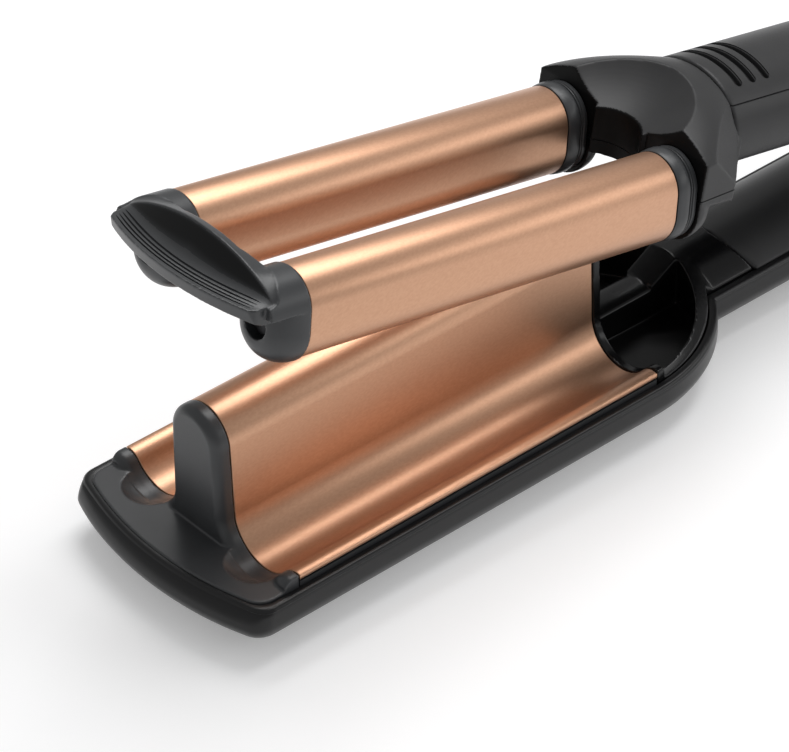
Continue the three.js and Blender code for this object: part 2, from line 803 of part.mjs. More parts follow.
// Torsion spring wound round the pin, between the cheeks of the knuckle
class Winding extends THREE.Curve {
  getPoint(share, target = new THREE.Vector3()) {
    const angle = share * springTurns * 2 * Math.PI
    const reach = springRoomHalf - springWireRadius - gap
    return target.set(
      hingeX + springMeanRadius * Math.cos(angle),
      between(-reach, reach, share),
      hingeZ + springMeanRadius * Math.sin(angle))
  }
}

function returnSpring() {
  const wire = new THREE.Shape().absarc(0, 0, springWireRadius, 0, 2 * Math.PI)
  const drawn = { steps: springTurns * 12, curveSegments: 3, extrudePath: new Winding() }
  return solid(new THREE.ExtrudeGeometry(wire, drawn))
}

function cordSwivel() {
  return cut(
    fused(
      rod(swivelFlangeRadius,
        [swivelFlangeX, 0, outletZ], [swivelFlangeX + swivelFlangeLength, 0, outletZ], 28),
      rod(swivelRadius, [swivelFlangeX + 1, 0, outletZ], [neckEndX + gap, 0, outletZ], 28),
      rod(swivelRadius, [neckEndX + gap, 0, outletZ], [swivelEndX, 0, outletZ], 28, swivelEndRadius)),
    rod(swivelBore, [swivelFlangeX - 1, 0, outletZ], [swivelEndX + 1, 0, outletZ], 20))
}

// Upper half, in its own frame from here on
const closedLift = troughCentreZ - bellyCentreZ
const axleX = hingeX - closedShiftX
const axleZ = hingeZ - closedLift
const coreInset = barrelWall + gap

function barrel(side) {
  return cut(
    alongX(onTrack(side, barrelSection(0)), 0, barrelLength),
    alongX(onTrack(side, barrelSection(-barrelWall)), -1, barrelLength + 1))
}

const coreStart = frontSpigot + gap
const coreEnd = barrelLength - frontSpigot - gap
const coreSlotHalf = heaterHalfWidth + gap

function barrelCore(side) {
  const y = side * trackY
  const slot = block(heaterStart, coreEnd + 1, y - coreSlotHalf, y + coreSlotHalf,
    bellyCentreZ - heaterThickness / 2 - gap, bellyCentreZ + heaterThickness / 2 + gap)
  const thread = rod(shankRadius + gap, [coreStart - 1, y, tipScrewZ], [coreStart + 13, y, tipScrewZ], 12)
  return cut(alongX(onTrack(side, barrelSection(-coreInset)), coreStart, coreEnd), slot, thread)
}

function barrelHeater(side) {
  const y = side * trackY
  return block(heaterStart + gap, heaterStart + heaterLength, y - heaterHalfWidth, y + heaterHalfWidth,
    bellyCentreZ - heaterThickness / 2, bellyCentreZ + heaterThickness / 2)
}

// Cool tip
function restFrontX(y) {
  return restApexX + restRadius - Math.sqrt(restRadius ** 2 - y ** 2)
}

// Height of a cap's crown at a distance from the middle of the part
function capCrownZ(y) {
  const radius = crownRadius + tipProud
  const offset = Math.abs(y) - trackY
  return crownCentreZ + Math.sqrt(radius ** 2 - offset ** 2)
}

// Back edge of the face that slopes down from the crest to the caps' crowns
function bridgeEdge(y) {
  const out = Math.abs(y)
  if (out > bridgeCapY) {
    const share = ((out - bridgeCapY) / (restHalfWidth - bridgeCapY)) ** 1.3
    return [between(bridgeCapX, bridgeEndX, share), capCrownZ(y) - bridgeInset]
  }
  const share = Math.max(0, (out - bridgeFlatHalf) / (bridgeCapY - bridgeFlatHalf))
  const z = between(bridgeMiddleZ, capCrownZ(bridgeCapY) - bridgeInset, (out / bridgeCapY) ** 2.2)
  return [between(bridgeMiddleX, bridgeCapX, share), z]
}

// Upper line of the thumb rest from its lip over the hollow and the crest to the back edge
function restLine(y) {
  const held = Math.min(Math.abs(y), restHalfWidth)
  const rise = (1 - (held / restHalfWidth) ** 2) ** crestFullness
  const front = restFrontX(held)
  const crest = between(crestEndHeight, crestHeight, rise)
  const hollow = steps(4).map((up) => [
    between(front, crestX, up),
    crest * up ** 2,
  ])
  return [...hollow, bridgeEdge(held)]
}

function thumbRest() {
  const rings = steps(12).map((share) => {
    const y = between(-restHalfWidth, restHalfWidth, share)
    const front = restFrontX(y)
    const [backX] = bridgeEdge(y)
    const onCap = Math.abs(y) > trackY - bellyRadius + webClear
    const foot = onCap ? [webRootX, y, lipRootZ] : [backX - webLean, y, webFootZ]
    return [
      foot,
      [foot[0] - webThickness, y, foot[2]],
      [crestX - lipRootAhead, y, lipRootZ],
      [front + 0.35 * restLipDepth, y, -restLipDepth],
      ...restLine(y).map(([x, z]) => [x, y, z]),
    ]
  })
  const cornerX = restFrontX(restHalfWidth)
  const side = [
    ...steps(8).map((share) => {
      const y = (restHalfWidth - restCorner / 2) * share
      return [restFrontX(y), y]
    }),
    [cornerX + restCorner * 0.3, restHalfWidth - restCorner * 0.15],
    [cornerX + restCorner, restHalfWidth],
    [webRootX, restHalfWidth],
  ]
  const plan = [...side.slice(1).reverse().map(([x, y]) => [x, -y]), ...side]
  return loft(rings).intersect(alongZ(plan, webFootZ - 1, crestHeight + 1))
}

// Space above the thumb rest, where the crowns of the caps end
function overRest() {
  const reach = restHalfWidth + 2 * restCorner
  const places = [-reach, ...steps(12).map((share) => between(-restHalfWidth, restHalfWidth, share)), reach]
  return loft(places.map((y) => {
    const line = restLine(y)
    const [frontX] = line[0]
    const [backX] = line[line.length - 1]
    return [
      [frontX, y, 3 * crestHeight],
      [backX, y, 3 * crestHeight],
      ...line.map(([x, z]) => [x, y, z - bridgeInset]).reverse(),
    ]
  }))
}

// A cap: a round belly with a domed front, under a crown that runs straight on to the thumb rest
function tipCap(side) {
  const straight = 0.4
  const rings = [
    atX(-gap, onTrack(side, barrelSection(tipProud))),
    ...steps(4).map((share) => {
      const angle = share * Math.PI / 2 * 0.93
      return atX(-gap - straight - (capLength - straight) * Math.sin(angle),
        onTrack(side, barrelSection(tipProud - capRound * (1 - Math.cos(angle)))))
    }),
  ]
  const radius = crownRadius + tipProud
  const crownLine = arc([0, crownCentreZ], radius, radius, 90 - crownAngle, 90 + crownAngle, 8)
  const crown = alongX(onTrack(side, crownLine), crownFrontX, -gap)
  const spigot = alongX(onTrack(side, barrelSection(-coreInset)), -1, frontSpigot)
  return fused(loft(rings), crown, spigot)
}

function coolTip() {
  const bores = [-trackY, trackY].map((y) => fused(
    rod(tipHoleRadius, [-40, y, tipScrewZ], [screwSeatX, y, tipScrewZ], 20),
    rod(shankRadius + gap, [-40, y, tipScrewZ], [frontSpigot + 1, y, tipScrewZ], 12)))
  return cut(fused(cut(fused(tipCap(-1), tipCap(1)), overRest()), thumbRest()), ...bores)
}

const screwSeatX = -4.4

function tipScrew(side) {
  const y = side * trackY
  const headX = screwSeatX - gap - headHeight
  return fused(
    rod(headRadius, [headX, y, tipScrewZ], [headX + headHeight, y, tipScrewZ], 20),
    rod(shankRadius, [headX + headHeight / 2, y, tipScrewZ], [coreStart + 12, y, tipScrewZ], 12))
}

// Collar: a spigot in the barrel, two outer rings, and a spigot in the yoke
const collarX = barrelLength + gap
const collarEndX = collarX + collarLength
const stepX = collarEndX - collarStepLength

function collar(side) {
  const ring = (grown, x0, x1) => alongX(onTrack(side, barrelSection(grown)), x0, x1)
  const y = side * trackY
  return cut(
    fused(
      ring(-coreInset, barrelLength - frontSpigot, collarX + 1),
      loft([
        atX(collarX, onTrack(side, barrelSection(collarProud * 0.2))),
        atX(collarX + 1, onTrack(side, barrelSection(collarProud * 0.65))),
        atX(collarX + 2.4, onTrack(side, barrelSection(collarProud))),
        atX(stepX, onTrack(side, barrelSection(collarProud))),
      ]),
      ring(collarProud - 2 * collarStepDepth, stepX - 1, stepX + collarStepDepth),
      ring(collarProud - collarStepDepth, stepX + collarStepDepth, collarEndX),
      ring(-coreInset, collarEndX - 1, collarEndX + rearSpigot)),
    rod(wireRadius, [0, y, bellyCentreZ], [collarEndX + rearSpigot + 1, y, bellyCentreZ], 20))
}

// Yoke: a block that narrows from the two barrels to the arm, with a dish on top and cut flanks
function yokeSection(x) {
  const share = Math.max(0, (x - yokeFrontX) / (armStartX - yokeFrontX))
  const taper = Math.min(1, share) ** 1.5
  const half = between(yokeFrontHalfWidth, armHalfWidth + 0.5, taper)
  const top = between(yokeFrontTop, armTop - 0.5, share) + yokeSwell * Math.sin(Math.PI * Math.min(1, share))
  const middle = between(yokeFrontMiddle, armMiddle, Math.min(1, share))
  return [...arc([0, middle], half, top - middle, 0, 180, 18), [-half, yokeFloorZ - 1], [half, yokeFloorZ - 1]]
}

function yokeBlock() {
  const startX = yokeNoseX - 2
  const body = loft(steps(7).map((share) => {
    const x = between(startX, yokeBackX, share)
    return atX(x, yokeSection(x))
  }))
  const plan = bothSides([
    [yokeNoseX, yokeNoseY], [yokeFrontX, yokeNoseY + yokeNoseAhead / 2], [yokeFrontX, yokeSideY],
    [yokeShoulderX, yokeSideY - yokeShoulderInset], [yokeHeelX, yokeHeelY], [yokeBackX, yokeBackY],
  ], 1)
  const underCut = bothSides([
    [yokeSideY + 1, 40], [yokeSideY + 1, yokePartZ - yokeUnderDrop],
    [yokeSideY - yokeUnderInset + yokeUnderRound, yokeFloorZ - yokeUnderRound],
    [yokeSideY - yokeUnderInset, yokeFloorZ],
  ])
  const shaped = body
    .intersect(alongZ(plan, yokeFloorZ - 1, 40))
    .intersect(alongX(underCut, startX - 1, yokeBackX + 1))
  const chamfer = (side) => beyond(
    [yokeFrontX + chamferBehindFront, side * (yokeSideY - chamferInset), chamferHeight],
    [chamferNormal[0], side * chamferNormal[1], chamferNormal[2]])
  const sockets = [-1, 1].map((side) => loft([
    atX(yokeFrontX, onTrack(side, barrelSection(socketProud))),
    atX(yokeFrontX + socketStraight, onTrack(side, barrelSection(socketProud))),
    atX(yokeFrontX + socketLength, onTrack(side, barrelSection(socketProud - socketTaper))),
  ]).intersect(block(startX, yokeBackX, -yokeSideY, yokeSideY, -40, yokePartZ)))
  const dishNormal = [-Math.sin(toRadians(dishTilt)), Math.cos(toRadians(dishTilt))]
  const dishRise = dishHeightRadius - dishDepth
  const rim = Math.sqrt(1 - (dishRise / dishHeightRadius) ** 2)
  const dish = ball(
    [dishHalfLength / rim, dishHalfWidth / rim, dishHeightRadius],
    [dishX + dishRise * dishNormal[0], 0, dishZ + dishRise * dishNormal[1]], dishTilt, 40, 30)
  const recess = rod(recessRadius, [recessX - recessRadius, 0, -40], [recessX - recessRadius, 0, 40], 36)
  return cut(
    fused(cut(shaped, chamfer(-1), chamfer(1), dish), ...sockets),
    beyond([yokeFrontX, 0, crownTop], [-1, 0, yokeFrontLean])
      .intersect(block(0, yokeBackX, -50, 50, crownTop, 40)),
    recess,
    ...[-1, 1].map((side) => alongX(onTrack(side, barrelSection(-coreInset + gap)),
      yokeFrontX - 10, collarEndX + rearSpigot + gap)),
    alongX(armSection(-gap), armStartX - gap, yokeBackX + 1),
    block(armStartX - tenonLength - gap, yokeBackX + 1, -tenonHalfWidth - gap, tenonHalfWidth + gap,
      tenonBottom - gap, tenonTop + gap),
    ...[-1, 1].map((side) => screwBore(yokeScrewX, side * yokeScrewY, yokeFloorZ + gap, yokeScrewTipZ)))
}

const yokeScrewTipZ = 2.5

function yokeTop(whole) {
  return cut(whole, beyond([0, 0, yokePartZ + gap / 2], [0, 0, -1]))
}

function yokeBottom(whole) {
  return cut(whole, beyond([0, 0, yokePartZ - gap / 2], [0, 0, 1]))
}

// Upper arm: a rounded top over a flatter underside
function armSection(inset) {
  const corner = armHalfWidth - armFlatHalf - inset
  return bothSides([
    [0, armTop - inset],
    ...arc([0, armMiddle], armHalfWidth - inset, armTop - armMiddle - inset, 80, 0, 7),
    ...arc([armFlatHalf, armMiddle], corner, armMiddle - armFloor - inset, 0, -90, 4).slice(1),
  ])
}

function armLoft(inset, startX) {
  const endX = armEndX - inset
  const turn = steps(4).map((share) => {
    const angle = share * Math.PI / 2 * 0.85
    const shrink = Math.cos(angle)
    const x = endX - armEndRound + armEndRound * Math.sin(angle) / Math.sin(Math.PI / 2 * 0.85)
    const narrow = between(0.55, 1, shrink)
    const low = between(0.4, 1, shrink)
    return atX(x, armSection(inset).map(([y, z]) => [y * narrow, z * low]))
  })
  return loft([atX(startX, armSection(inset)), ...turn])
}

function armBody() {
  return cut(armLoft(0, armStartX), armLoft(armWall, armStartX + armWall + 0.5))
}

function upperHandleCover() {
  const grips = Array.from({ length: gripCount }, (_, i) => {
    const x = gripX + i * gripPitch
    return cut(
      block(x - gripWidth / 2, x + gripWidth / 2, -gripHalfLength, gripHalfLength, armPartZ, armTop + 1),
      alongX(armSection(gripDepth), x - gripWidth, x + gripWidth))
  })
  const openings = [
    [powerX, 0, powerRadius], [heatUpX, 0, heatRadius], [heatDownX, 0, heatRadius], ...lightPlaces(),
  ].map(([x, y, radius]) => rod(radius + gap, [x, y, armPartZ - 1], [x, y, armTop + 5]))
  const bosses = armScrewX.map((x) =>
    rod(bossRadius - 0.8, [x, 0, armBossTopZ + gap], [x, 0, armTop - armWall / 2], 12))
  const bores = armScrewX.map((x) => rod(shankRadius + gap, [x, 0, armFloor], [x, 0, armScrewTipZ + gap], 8))
  const top = cut(armBody(), beyond([0, 0, armPartZ + gap / 2], [0, 0, -1]), ...grips, ...openings)
  return cut(fused(top, ...bosses), ...bores)
}

const armBossTopZ = armFloor + armWall + headHeight + 0.6
const armScrewTipZ = 3

function upperHandleShell() {
  const lower = cut(armBody(), beyond([0, 0, armPartZ - gap / 2], [0, 0, 1]))
  const tenon = block(armStartX - tenonLength, armStartX + armWall,
    -tenonHalfWidth, tenonHalfWidth, tenonBottom, tenonTop)
  const knuckle = fused(
    rod(drumRadius, [axleX, -knuckleHalf, axleZ], [axleX, knuckleHalf, axleZ], 32),
    alongY([
      [armEndX - armEndRound - 4, armFloor + 0.5], [axleX - drumRadius - 1, armFloor],
      [axleX - drumRadius + 0.2, axleZ], [axleX + drumRadius - 1.5, axleZ + 4.5],
      [armEndX - 1, armFloor + 6.5], [armEndX - armEndRound, armFloor + 6.5],
    ], -knuckleHalf, knuckleHalf))
  const rail = (y) => alongY([
    [railStart, armFloor + 0.6], [railStart + 2, armFloor - 0.8 * railDepth],
    [railStart + 5, armFloor - railDepth],
    [railEnd - 4, armFloor - railDepth], [railEnd, armFloor + 0.6],
  ], y - railWidth / 2, y + railWidth / 2)
  const bosses = armScrewX.map((x) => rod(bossRadius, [x, 0, armFloor + armWall / 2], [x, 0, armBossTopZ], 12))
  const bores = armScrewX.map((x) => screwBore(x, 0, armFloor + gap, armBossTopZ + gap))
  const posts = [controlBoardStart + postRadius + 1, controlBoardEnd - postRadius - 1].map((x) =>
    rod(postRadius, [x, 0, armFloor + armWall / 2], [x, 0, controlBoardZ - gap], 8))
  return cut(
    fused(lower, tenon, knuckle, rail(-railY), rail(railY), ...bosses, ...posts),
    ...bores,
    rod(wireRadius - 1, [armStartX - tenonLength - 1, 0, -1], [armStartX + 6, 0, -1], 12),
    rod(pinRadius + gap, [axleX, -knuckleHalf - 1, axleZ], [axleX, knuckleHalf + 1, axleZ], 16),
    rod(springRoomRadius, [axleX, -springRoomHalf, axleZ], [axleX, springRoomHalf, axleZ], 24))
}

function lightPlaces() {
  return Array.from({ length: lightCount }, (_, i) =>
    [lightX, (i - (lightCount - 1) / 2) * lightPitch, lightRadius])
}

const underCoverZ = armTop - armWall
const flangeTopZ = underCoverZ - 1.3
const switchTopZ = flangeTopZ - buttonFlange - buttonTravel - gap / 2

function controlBoard() {
  const plate = block(controlBoardStart, controlBoardEnd, -controlBoardHalf, controlBoardHalf,
    controlBoardZ, controlBoardZ + boardThickness)
  const switches = [powerX, heatUpX, heatDownX].map((x) =>
    block(x - switchHalf, x + switchHalf, -switchHalf, switchHalf, controlBoardZ, switchTopZ))
  return fused(plate, ...switches)
}

function button(x, radius) {
  return fused(
    rod(radius, [x, 0, flangeTopZ - buttonFlange], [x, 0, armTop + buttonProud]),
    rod(radius + 0.9, [x, 0, flangeTopZ - buttonFlange], [x, 0, flangeTopZ]))
}

function indicatorLens([x, y, radius]) {
  const surface = armMiddle + (armTop - armMiddle) * Math.sqrt(1 - (y / armHalfWidth) ** 2)
  return rod(radius, [x, y, controlBoardZ + boardThickness + gap], [x, y, surface + 0.2], 10)
}

// Finishes
function finish(colour, roughness, metalness) {
  return new THREE.MeshStandardMaterial({ color: new THREE.Color(...colour), roughness, metalness })
}

const copper = finish([0.62, 0.36, 0.23], 0.35, 0.9)
const blackPlastic = finish([0.03, 0.03, 0.032], 0.4, 0)
const satinPlastic = finish([0.06, 0.06, 0.065], 0.45, 0)
const heatPlastic = finish([0.09, 0.09, 0.1], 0.5, 0)
const steel = finish([0.6, 0.6, 0.62], 0.3, 1)
const aluminium = finish([0.75, 0.75, 0.76], 0.4, 1)
const ceramic = finish([0.85, 0.83, 0.78], 0.6, 0)
const boardGreen = finish([0.04, 0.22, 0.1], 0.5, 0)
const amberLens = finish([0.8, 0.3, 0.1], 0.2, 0)

function piece(name, body, material) {
  const mesh = new THREE.Mesh(geometryOf(body), material)
  mesh.name = name
  return mesh
}

const sides = [['near', -1], ['far', 1]]

function lowerHalf() {
  const group = new THREE.Group()
  group.add(
    piece('lower_casing', lowerCasing(), blackPlastic),
    piece('front_bezel', frontBezel(), heatPlastic),
    piece('rear_bezel', rearBezel(), blackPlastic),
    piece('wave_plate', wavePlate(), copper),
    piece('plate_tray', plateTray(), heatPlastic),
    piece('thermal_fuse', thermalFuse(), steel),
    piece('lower_handle_cover', lowerHandleCover(), blackPlastic),
    piece('power_board', powerBoard(), boardGreen),
    piece('hinge_pin', hingePin(), steel),
    piece('return_spring', returnSpring(), steel),
    piece('cord_swivel', cordSwivel(), satinPlastic))
  for (const [word, side] of sides) {
    group.add(
      piece(`plate_spreader_${word}`, plateSpreader(side), aluminium),
      piece(`plate_heater_${word}`, plateHeater(side), ceramic),
      piece(`hinge_cap_${word}`, hingeCap(side), steel))
  }
  plateScrewX.forEach((x, i) => {
    group.add(piece(`plate_screw_${i + 1}`, screw(x, 0, baseZ + gap, bezelFloorZ - 2 - gap), steel))
  })
  coverScrewX.forEach((x, i) => {
    group.add(piece(`cover_screw_${i + 1}`, screw(x, 0, baseZ + gap, rimZ + 3 - gap), steel))
  })
  return group
}

function upperHalf() {
  const group = new THREE.Group()
  const yoke = yokeBlock()
  group.add(
    piece('cool_tip', coolTip(), heatPlastic),
    piece('yoke_top', yokeTop(yoke), blackPlastic),
    piece('yoke_bottom', yokeBottom(yoke), blackPlastic),
    piece('upper_handle_cover', upperHandleCover(), blackPlastic),
    piece('upper_handle_shell', upperHandleShell(), blackPlastic),
    piece('control_board', controlBoard(), boardGreen),
    piece('power_button', button(powerX, powerRadius), satinPlastic),
    piece('heat_up_button', button(heatUpX, heatRadius), satinPlastic),
    piece('heat_down_button', button(heatDownX, heatRadius), satinPlastic))
  for (const [word, side] of sides) {
    group.add(
      piece(`barrel_${word}`, barrel(side), copper),
      piece(`barrel_core_${word}`, barrelCore(side), aluminium),
      piece(`barrel_heater_${word}`, barrelHeater(side), ceramic),
      piece(`collar_${word}`, collar(side), heatPlastic),
      piece(`tip_screw_${word}`, tipScrew(side), steel),
      piece(`yoke_screw_${word}`, screw(yokeScrewX, side * yokeScrewY, yokeFloorZ + gap, yokeScrewTipZ), steel))
  }
  armScrewX.forEach((x, i) => {
    group.add(piece(`handle_screw_${i + 1}`, screw(x, 0, armFloor + gap, armScrewTipZ), steel))
  })
  lightPlaces().forEach((place, i) => {
    group.add(piece(`indicator_lens_${i + 1}`, indicatorLens(place), amberLens))
  })
  group.position.set(-axleX, 0, -axleZ)
  return group
}

// The upper half turns about the hinge, and is drawn open against its stop
const turning = new THREE.Group()
turning.add(upperHalf())
turning.rotation.y = toRadians(openAngle)
turning.position.set(hingeX, 0, hingeZ)

const waver = new THREE.Group()
waver.name = 'hair_waver'
waver.add(lowerHalf(), turning)
waver.position.set(-(casingTip + swivelEndX) / 2, 0, -baseZ)

export default waver
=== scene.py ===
# %% [markdown]
# A hair waver lies open on a pale floor. Two copper-coloured barrels hang from an upper arm, and a
# wave-shaped plate lies in the lower arm. Hair is laid over the plate and pressed into waves. The whole tool
# could be drawn from nothing, but its bodies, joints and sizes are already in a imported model. So that model
# is loaded first and stays fixed, and each step after it makes one part of the looks, in metres and in the
# same frame.

# %% Load the frame
import math

import bmesh
import bpy
import numpy as np
from mathutils import Matrix, Vector


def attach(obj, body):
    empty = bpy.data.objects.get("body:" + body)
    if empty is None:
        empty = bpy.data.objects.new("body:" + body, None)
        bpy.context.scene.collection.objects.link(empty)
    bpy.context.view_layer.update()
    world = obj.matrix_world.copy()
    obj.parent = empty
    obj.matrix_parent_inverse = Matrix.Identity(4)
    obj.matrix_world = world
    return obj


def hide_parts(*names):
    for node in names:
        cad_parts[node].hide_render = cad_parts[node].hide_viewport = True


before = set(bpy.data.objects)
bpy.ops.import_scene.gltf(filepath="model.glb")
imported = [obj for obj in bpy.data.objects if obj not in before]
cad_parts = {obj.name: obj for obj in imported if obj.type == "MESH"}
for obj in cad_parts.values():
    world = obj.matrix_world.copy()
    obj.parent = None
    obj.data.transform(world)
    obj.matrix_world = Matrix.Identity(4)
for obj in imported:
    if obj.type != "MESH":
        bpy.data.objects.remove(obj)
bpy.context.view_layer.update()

print("nodes:", len(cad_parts))

# %% [markdown]
# The lower half of the real tool lies flat, and the upper half is tilted up about its hinge. Its shapes could
# be drawn straight in the frame of the model, but then every number would carry the tilt. So they are drawn
# in millimetres in two handy frames. The jaw frame starts at the front edge of the plate. The upper frame
# starts at the front edge of the barrels and tilts with the upper half.

# %% Frames
MM = 0.001
JAW_START = (-152.75, 0, 17.0)
HINGE_X, HINGE_Z = HINGE = (294.2, 0.5)
AXLE_X, AXLE_Z = AXLE = (292.2, -14.02)
OPEN_ANGLE = math.radians(11.2)
TILT = np.array([[math.cos(OPEN_ANGLE), 0, -math.sin(OPEN_ANGLE)], [0, 1, 0],
                 [math.sin(OPEN_ANGLE), 0, math.cos(OPEN_ANGLE)]])


def in_jaw(points):
    return (np.asarray(points, float).reshape(-1, 3) + JAW_START) * MM


def in_upper(points):
    points = np.asarray(points, float).reshape(-1, 3) - (AXLE_X, 0, AXLE_Z)
    return in_jaw(points @ TILT + (HINGE_X, 0, HINGE_Z))


def off_upper(points):
    """Points of the model, in metres, read back in the upper frame."""
    return (points / MM - JAW_START - (HINGE_X, 0, HINGE_Z)) @ TILT.T + (AXLE_X, 0, AXLE_Z)


print("plate front edge:", in_jaw([0, 0, 0])[0].round(4))
print("barrel front edge:", in_upper([0, 0, 0])[0].round(4))

# %% [markdown]
# The camera looks down at the tip from the left, from about a metre away. It could be aimed at a target, but
# its directions were fitted to the edges of the barrels and the plate, so they are written out. The long lens
# keeps the far end of the tool nearly as large as the near end.

# %% Camera
CAMERA_PLACE = (-0.61569, -0.61109, 0.64193)
CAMERA_FORWARD = (0.51417, 0.60482, -0.60813)
CAMERA_RIGHT = (0.75413, -0.65655, -0.01536)
LENS = 194.0
SENSOR = 36.0
FAR_CLIP = 20.0

forward = Vector(CAMERA_FORWARD).normalized()
right = Vector(CAMERA_RIGHT).normalized()
above = right.cross(forward)
turn = Matrix((right, above, -forward)).transposed().to_4x4()
camera = bpy.data.objects.new("camera", bpy.data.cameras.new("camera"))
camera.matrix_world = Matrix.Translation(CAMERA_PLACE) @ turn
camera.data.lens = LENS
camera.data.sensor_width = SENSOR
camera.data.sensor_fit = "HORIZONTAL"
camera.data.clip_end = FAR_CLIP
bpy.context.scene.collection.objects.link(camera)
bpy.context.scene.camera = camera
bpy.context.scene.view_settings.view_transform = "Standard"
print("camera looks along", [round(v, 3) for v in forward])

# %% [markdown]
# Real shells and turned parts mostly follow a section along a line. They could be pulled into shape from a
# cube by hand. A skin over rings of points was chosen, because its sizes stay readable and can be changed.
# The rings have the same number of points. Prisms, turned parts, rods and balls are skins too.

# %% Skin over rings
MERGE = 1e-7
POLE = 88.5
SCREW_BORE = 3.1
SCREW_BORE_DEPTH = 2.5


def new_piece(name, points, faces):
    mesh = bpy.data.meshes.new(name)
    mesh.from_pydata(np.asarray(points).tolist(), [], faces)
    shape = bmesh.new()
    shape.from_mesh(mesh)
    bmesh.ops.remove_doubles(shape, verts=shape.verts, dist=MERGE)
    bmesh.ops.triangulate(shape, faces=[face for face in shape.faces if len(face.verts) > 4])
    bmesh.ops.recalc_face_normals(shape, faces=shape.faces)
    shape.to_mesh(mesh)
    shape.free()
    piece = bpy.data.objects.new(name, mesh)
    bpy.context.scene.collection.objects.link(piece)
    return piece


def skin(name, rings, place, wrap=False):
    rings = np.asarray(rings, float)
    count, size = rings.shape[:2]
    faces = []
    for ring in range(count if wrap else count - 1):
        here, there = ring * size, (ring + 1) % count * size
        for i in range(size):
            j = (i + 1) % size
            faces.append((here + i, here + j, there + j, there + i))
    if not wrap:
        faces.append(tuple(range(size)))
        faces.append(tuple((count - 1) * size + i for i in range(size)))
    return new_piece(name, place(rings), faces)


def prism(name, outline, start, end, place, axis=0):
    """An outline pushed along an axis: (y, z) along X, (x, z) along Y, (x, y) along Z."""
    outline = np.asarray(outline, float)
    rings = [np.insert(outline, axis, level, axis=1) for level in (start, end)]
    return skin(name, rings, place)


def box(name, lo, hi, place):
    outline = [(lo[0], lo[1]), (hi[0], lo[1]), (hi[0], hi[1]), (lo[0], hi[1])]
    return prism(name, outline, lo[2], hi[2], place, axis=2)


def arc(centre, across, up, start, end, count):
    angles = np.radians(np.linspace(start, end, count + 1))
    return np.column_stack([centre[0] + across * np.cos(angles), centre[1] + up * np.sin(angles)])


def around(count):
    return np.linspace(0, 2 * math.pi, count, endpoint=False)


def turned(name, profile, origin, axis, place, sides=48):
    """A profile of (radius, height) turned about an axis that starts at a point."""
    axis = Vector(axis).normalized()
    side = axis.orthogonal().normalized()
    spokes = np.outer(np.cos(around(sides)), side) + np.outer(np.sin(around(sides)), axis.cross(side))
    rings = [np.array(origin) + np.array(axis) * height + radius * spokes for radius, height in profile]
    return skin(name, rings, place)


def rod(name, radius, start, end, place, sides=48):
    start, end = np.array(start, float), np.array(end, float)
    length = float(np.linalg.norm(end - start))
    return turned(name, [(radius, 0), (radius, length)], start, end - start, place, sides)


def rod_x(name, radius, at, start, end, place, sides=48):
    """A rod along X at (y, z)."""
    return rod(name, radius, (start, *at), (end, *at), place, sides)


def rod_y(name, radius, at, start, end, place, sides=48):
    """A rod along Y at (x, z)."""
    return rod(name, radius, (at[0], start, at[1]), (at[0], end, at[1]), place, sides)


def rod_z(name, radius, at, start, end, place, sides=48):
    """A rod along Z at (x, y)."""
    return rod(name, radius, (*at, start), (*at, end), place, sides)


def screw_bores(spots, start, floor, place):
    """Bores for sunk screws, from under a floor to a little above it."""
    return [rod_z("screw bore", SCREW_BORE, at, start, floor + SCREW_BORE_DEPTH, place, 32) for at in spots]


def ball(name, radii, centre, place, tilt=0.0, sides=64):
    """An ellipsoid, tipped up at the +X end by a tilt in degrees."""
    c, s = math.cos(math.radians(tilt)), math.sin(math.radians(tilt))
    rings = []
    for lift in np.radians(np.linspace(-POLE, POLE, sides // 2)):
        x = radii[0] * math.cos(lift) * np.cos(around(sides))
        y = radii[1] * math.cos(lift) * np.sin(around(sides))
        z = np.full(sides, radii[2] * math.sin(lift))
        rings.append(np.column_stack([x * c - z * s, y, x * s + z * c]) + centre)
    return skin(name, rings, place)


print("shape helpers are ready")

# %% [markdown]
# Holes and recesses of a moulded shell come from cores in its mould. Here a tool piece is cut from a piece or
# joined to it in the same way. A bevel could round the edges afterwards, but it stumbles over meshes that
# were cut so often. So the result is cast: it becomes an even, fine mesh that is smoothed a little, which
# gives moulded plastic its small round edges. Crisp cuts, such as seams and grooves, come after the casting.

# %% Cut, join and cast
SMOOTHING = 0.5


def settle(piece):
    """Applies what the modifiers make."""
    seen = piece.evaluated_get(bpy.context.evaluated_depsgraph_get())
    made = bpy.data.meshes.new_from_object(seen)
    piece.modifiers.clear()
    old, piece.data = piece.data, made
    bpy.data.meshes.remove(old)
    return piece


def add_step(piece, kind, **settings):
    step = piece.modifiers.new(kind, kind)
    for name, value in settings.items():
        setattr(step, name, value)


def work(piece, how, *tools):
    for tool in tools:
        add_step(piece, "BOOLEAN", operation=how, solver="MANIFOLD", object=tool)
        settle(piece)
        bpy.data.objects.remove(tool)
    return piece


def cut(piece, *tools):
    return work(piece, "DIFFERENCE", *tools)


def join(piece, *tools):
    return work(piece, "UNION", *tools)


def keep_inside(piece, *tools):
    return work(piece, "INTERSECT", *tools)


def twin(piece, name):
    other = bpy.data.objects.new(name, piece.data.copy())
    bpy.context.scene.collection.objects.link(other)
    return other


def soften(piece, angle):
    """Smooth shading that stays sharp at edges over an angle in degrees."""
    piece.data.shade_smooth()
    piece.data.set_sharp_from_angle(angle=math.radians(angle))


def cast(piece, grain, rounds):
    """An even mesh of that grain in millimetres, smoothed for some rounds."""
    add_step(piece, "REMESH", mode="VOXEL", voxel_size=grain * MM)
    add_step(piece, "SMOOTH", factor=SMOOTHING, iterations=rounds)
    settle(piece)
    piece.data.shade_smooth()
    print(piece.name, "is cast with", len(piece.data.polygons), "faces")


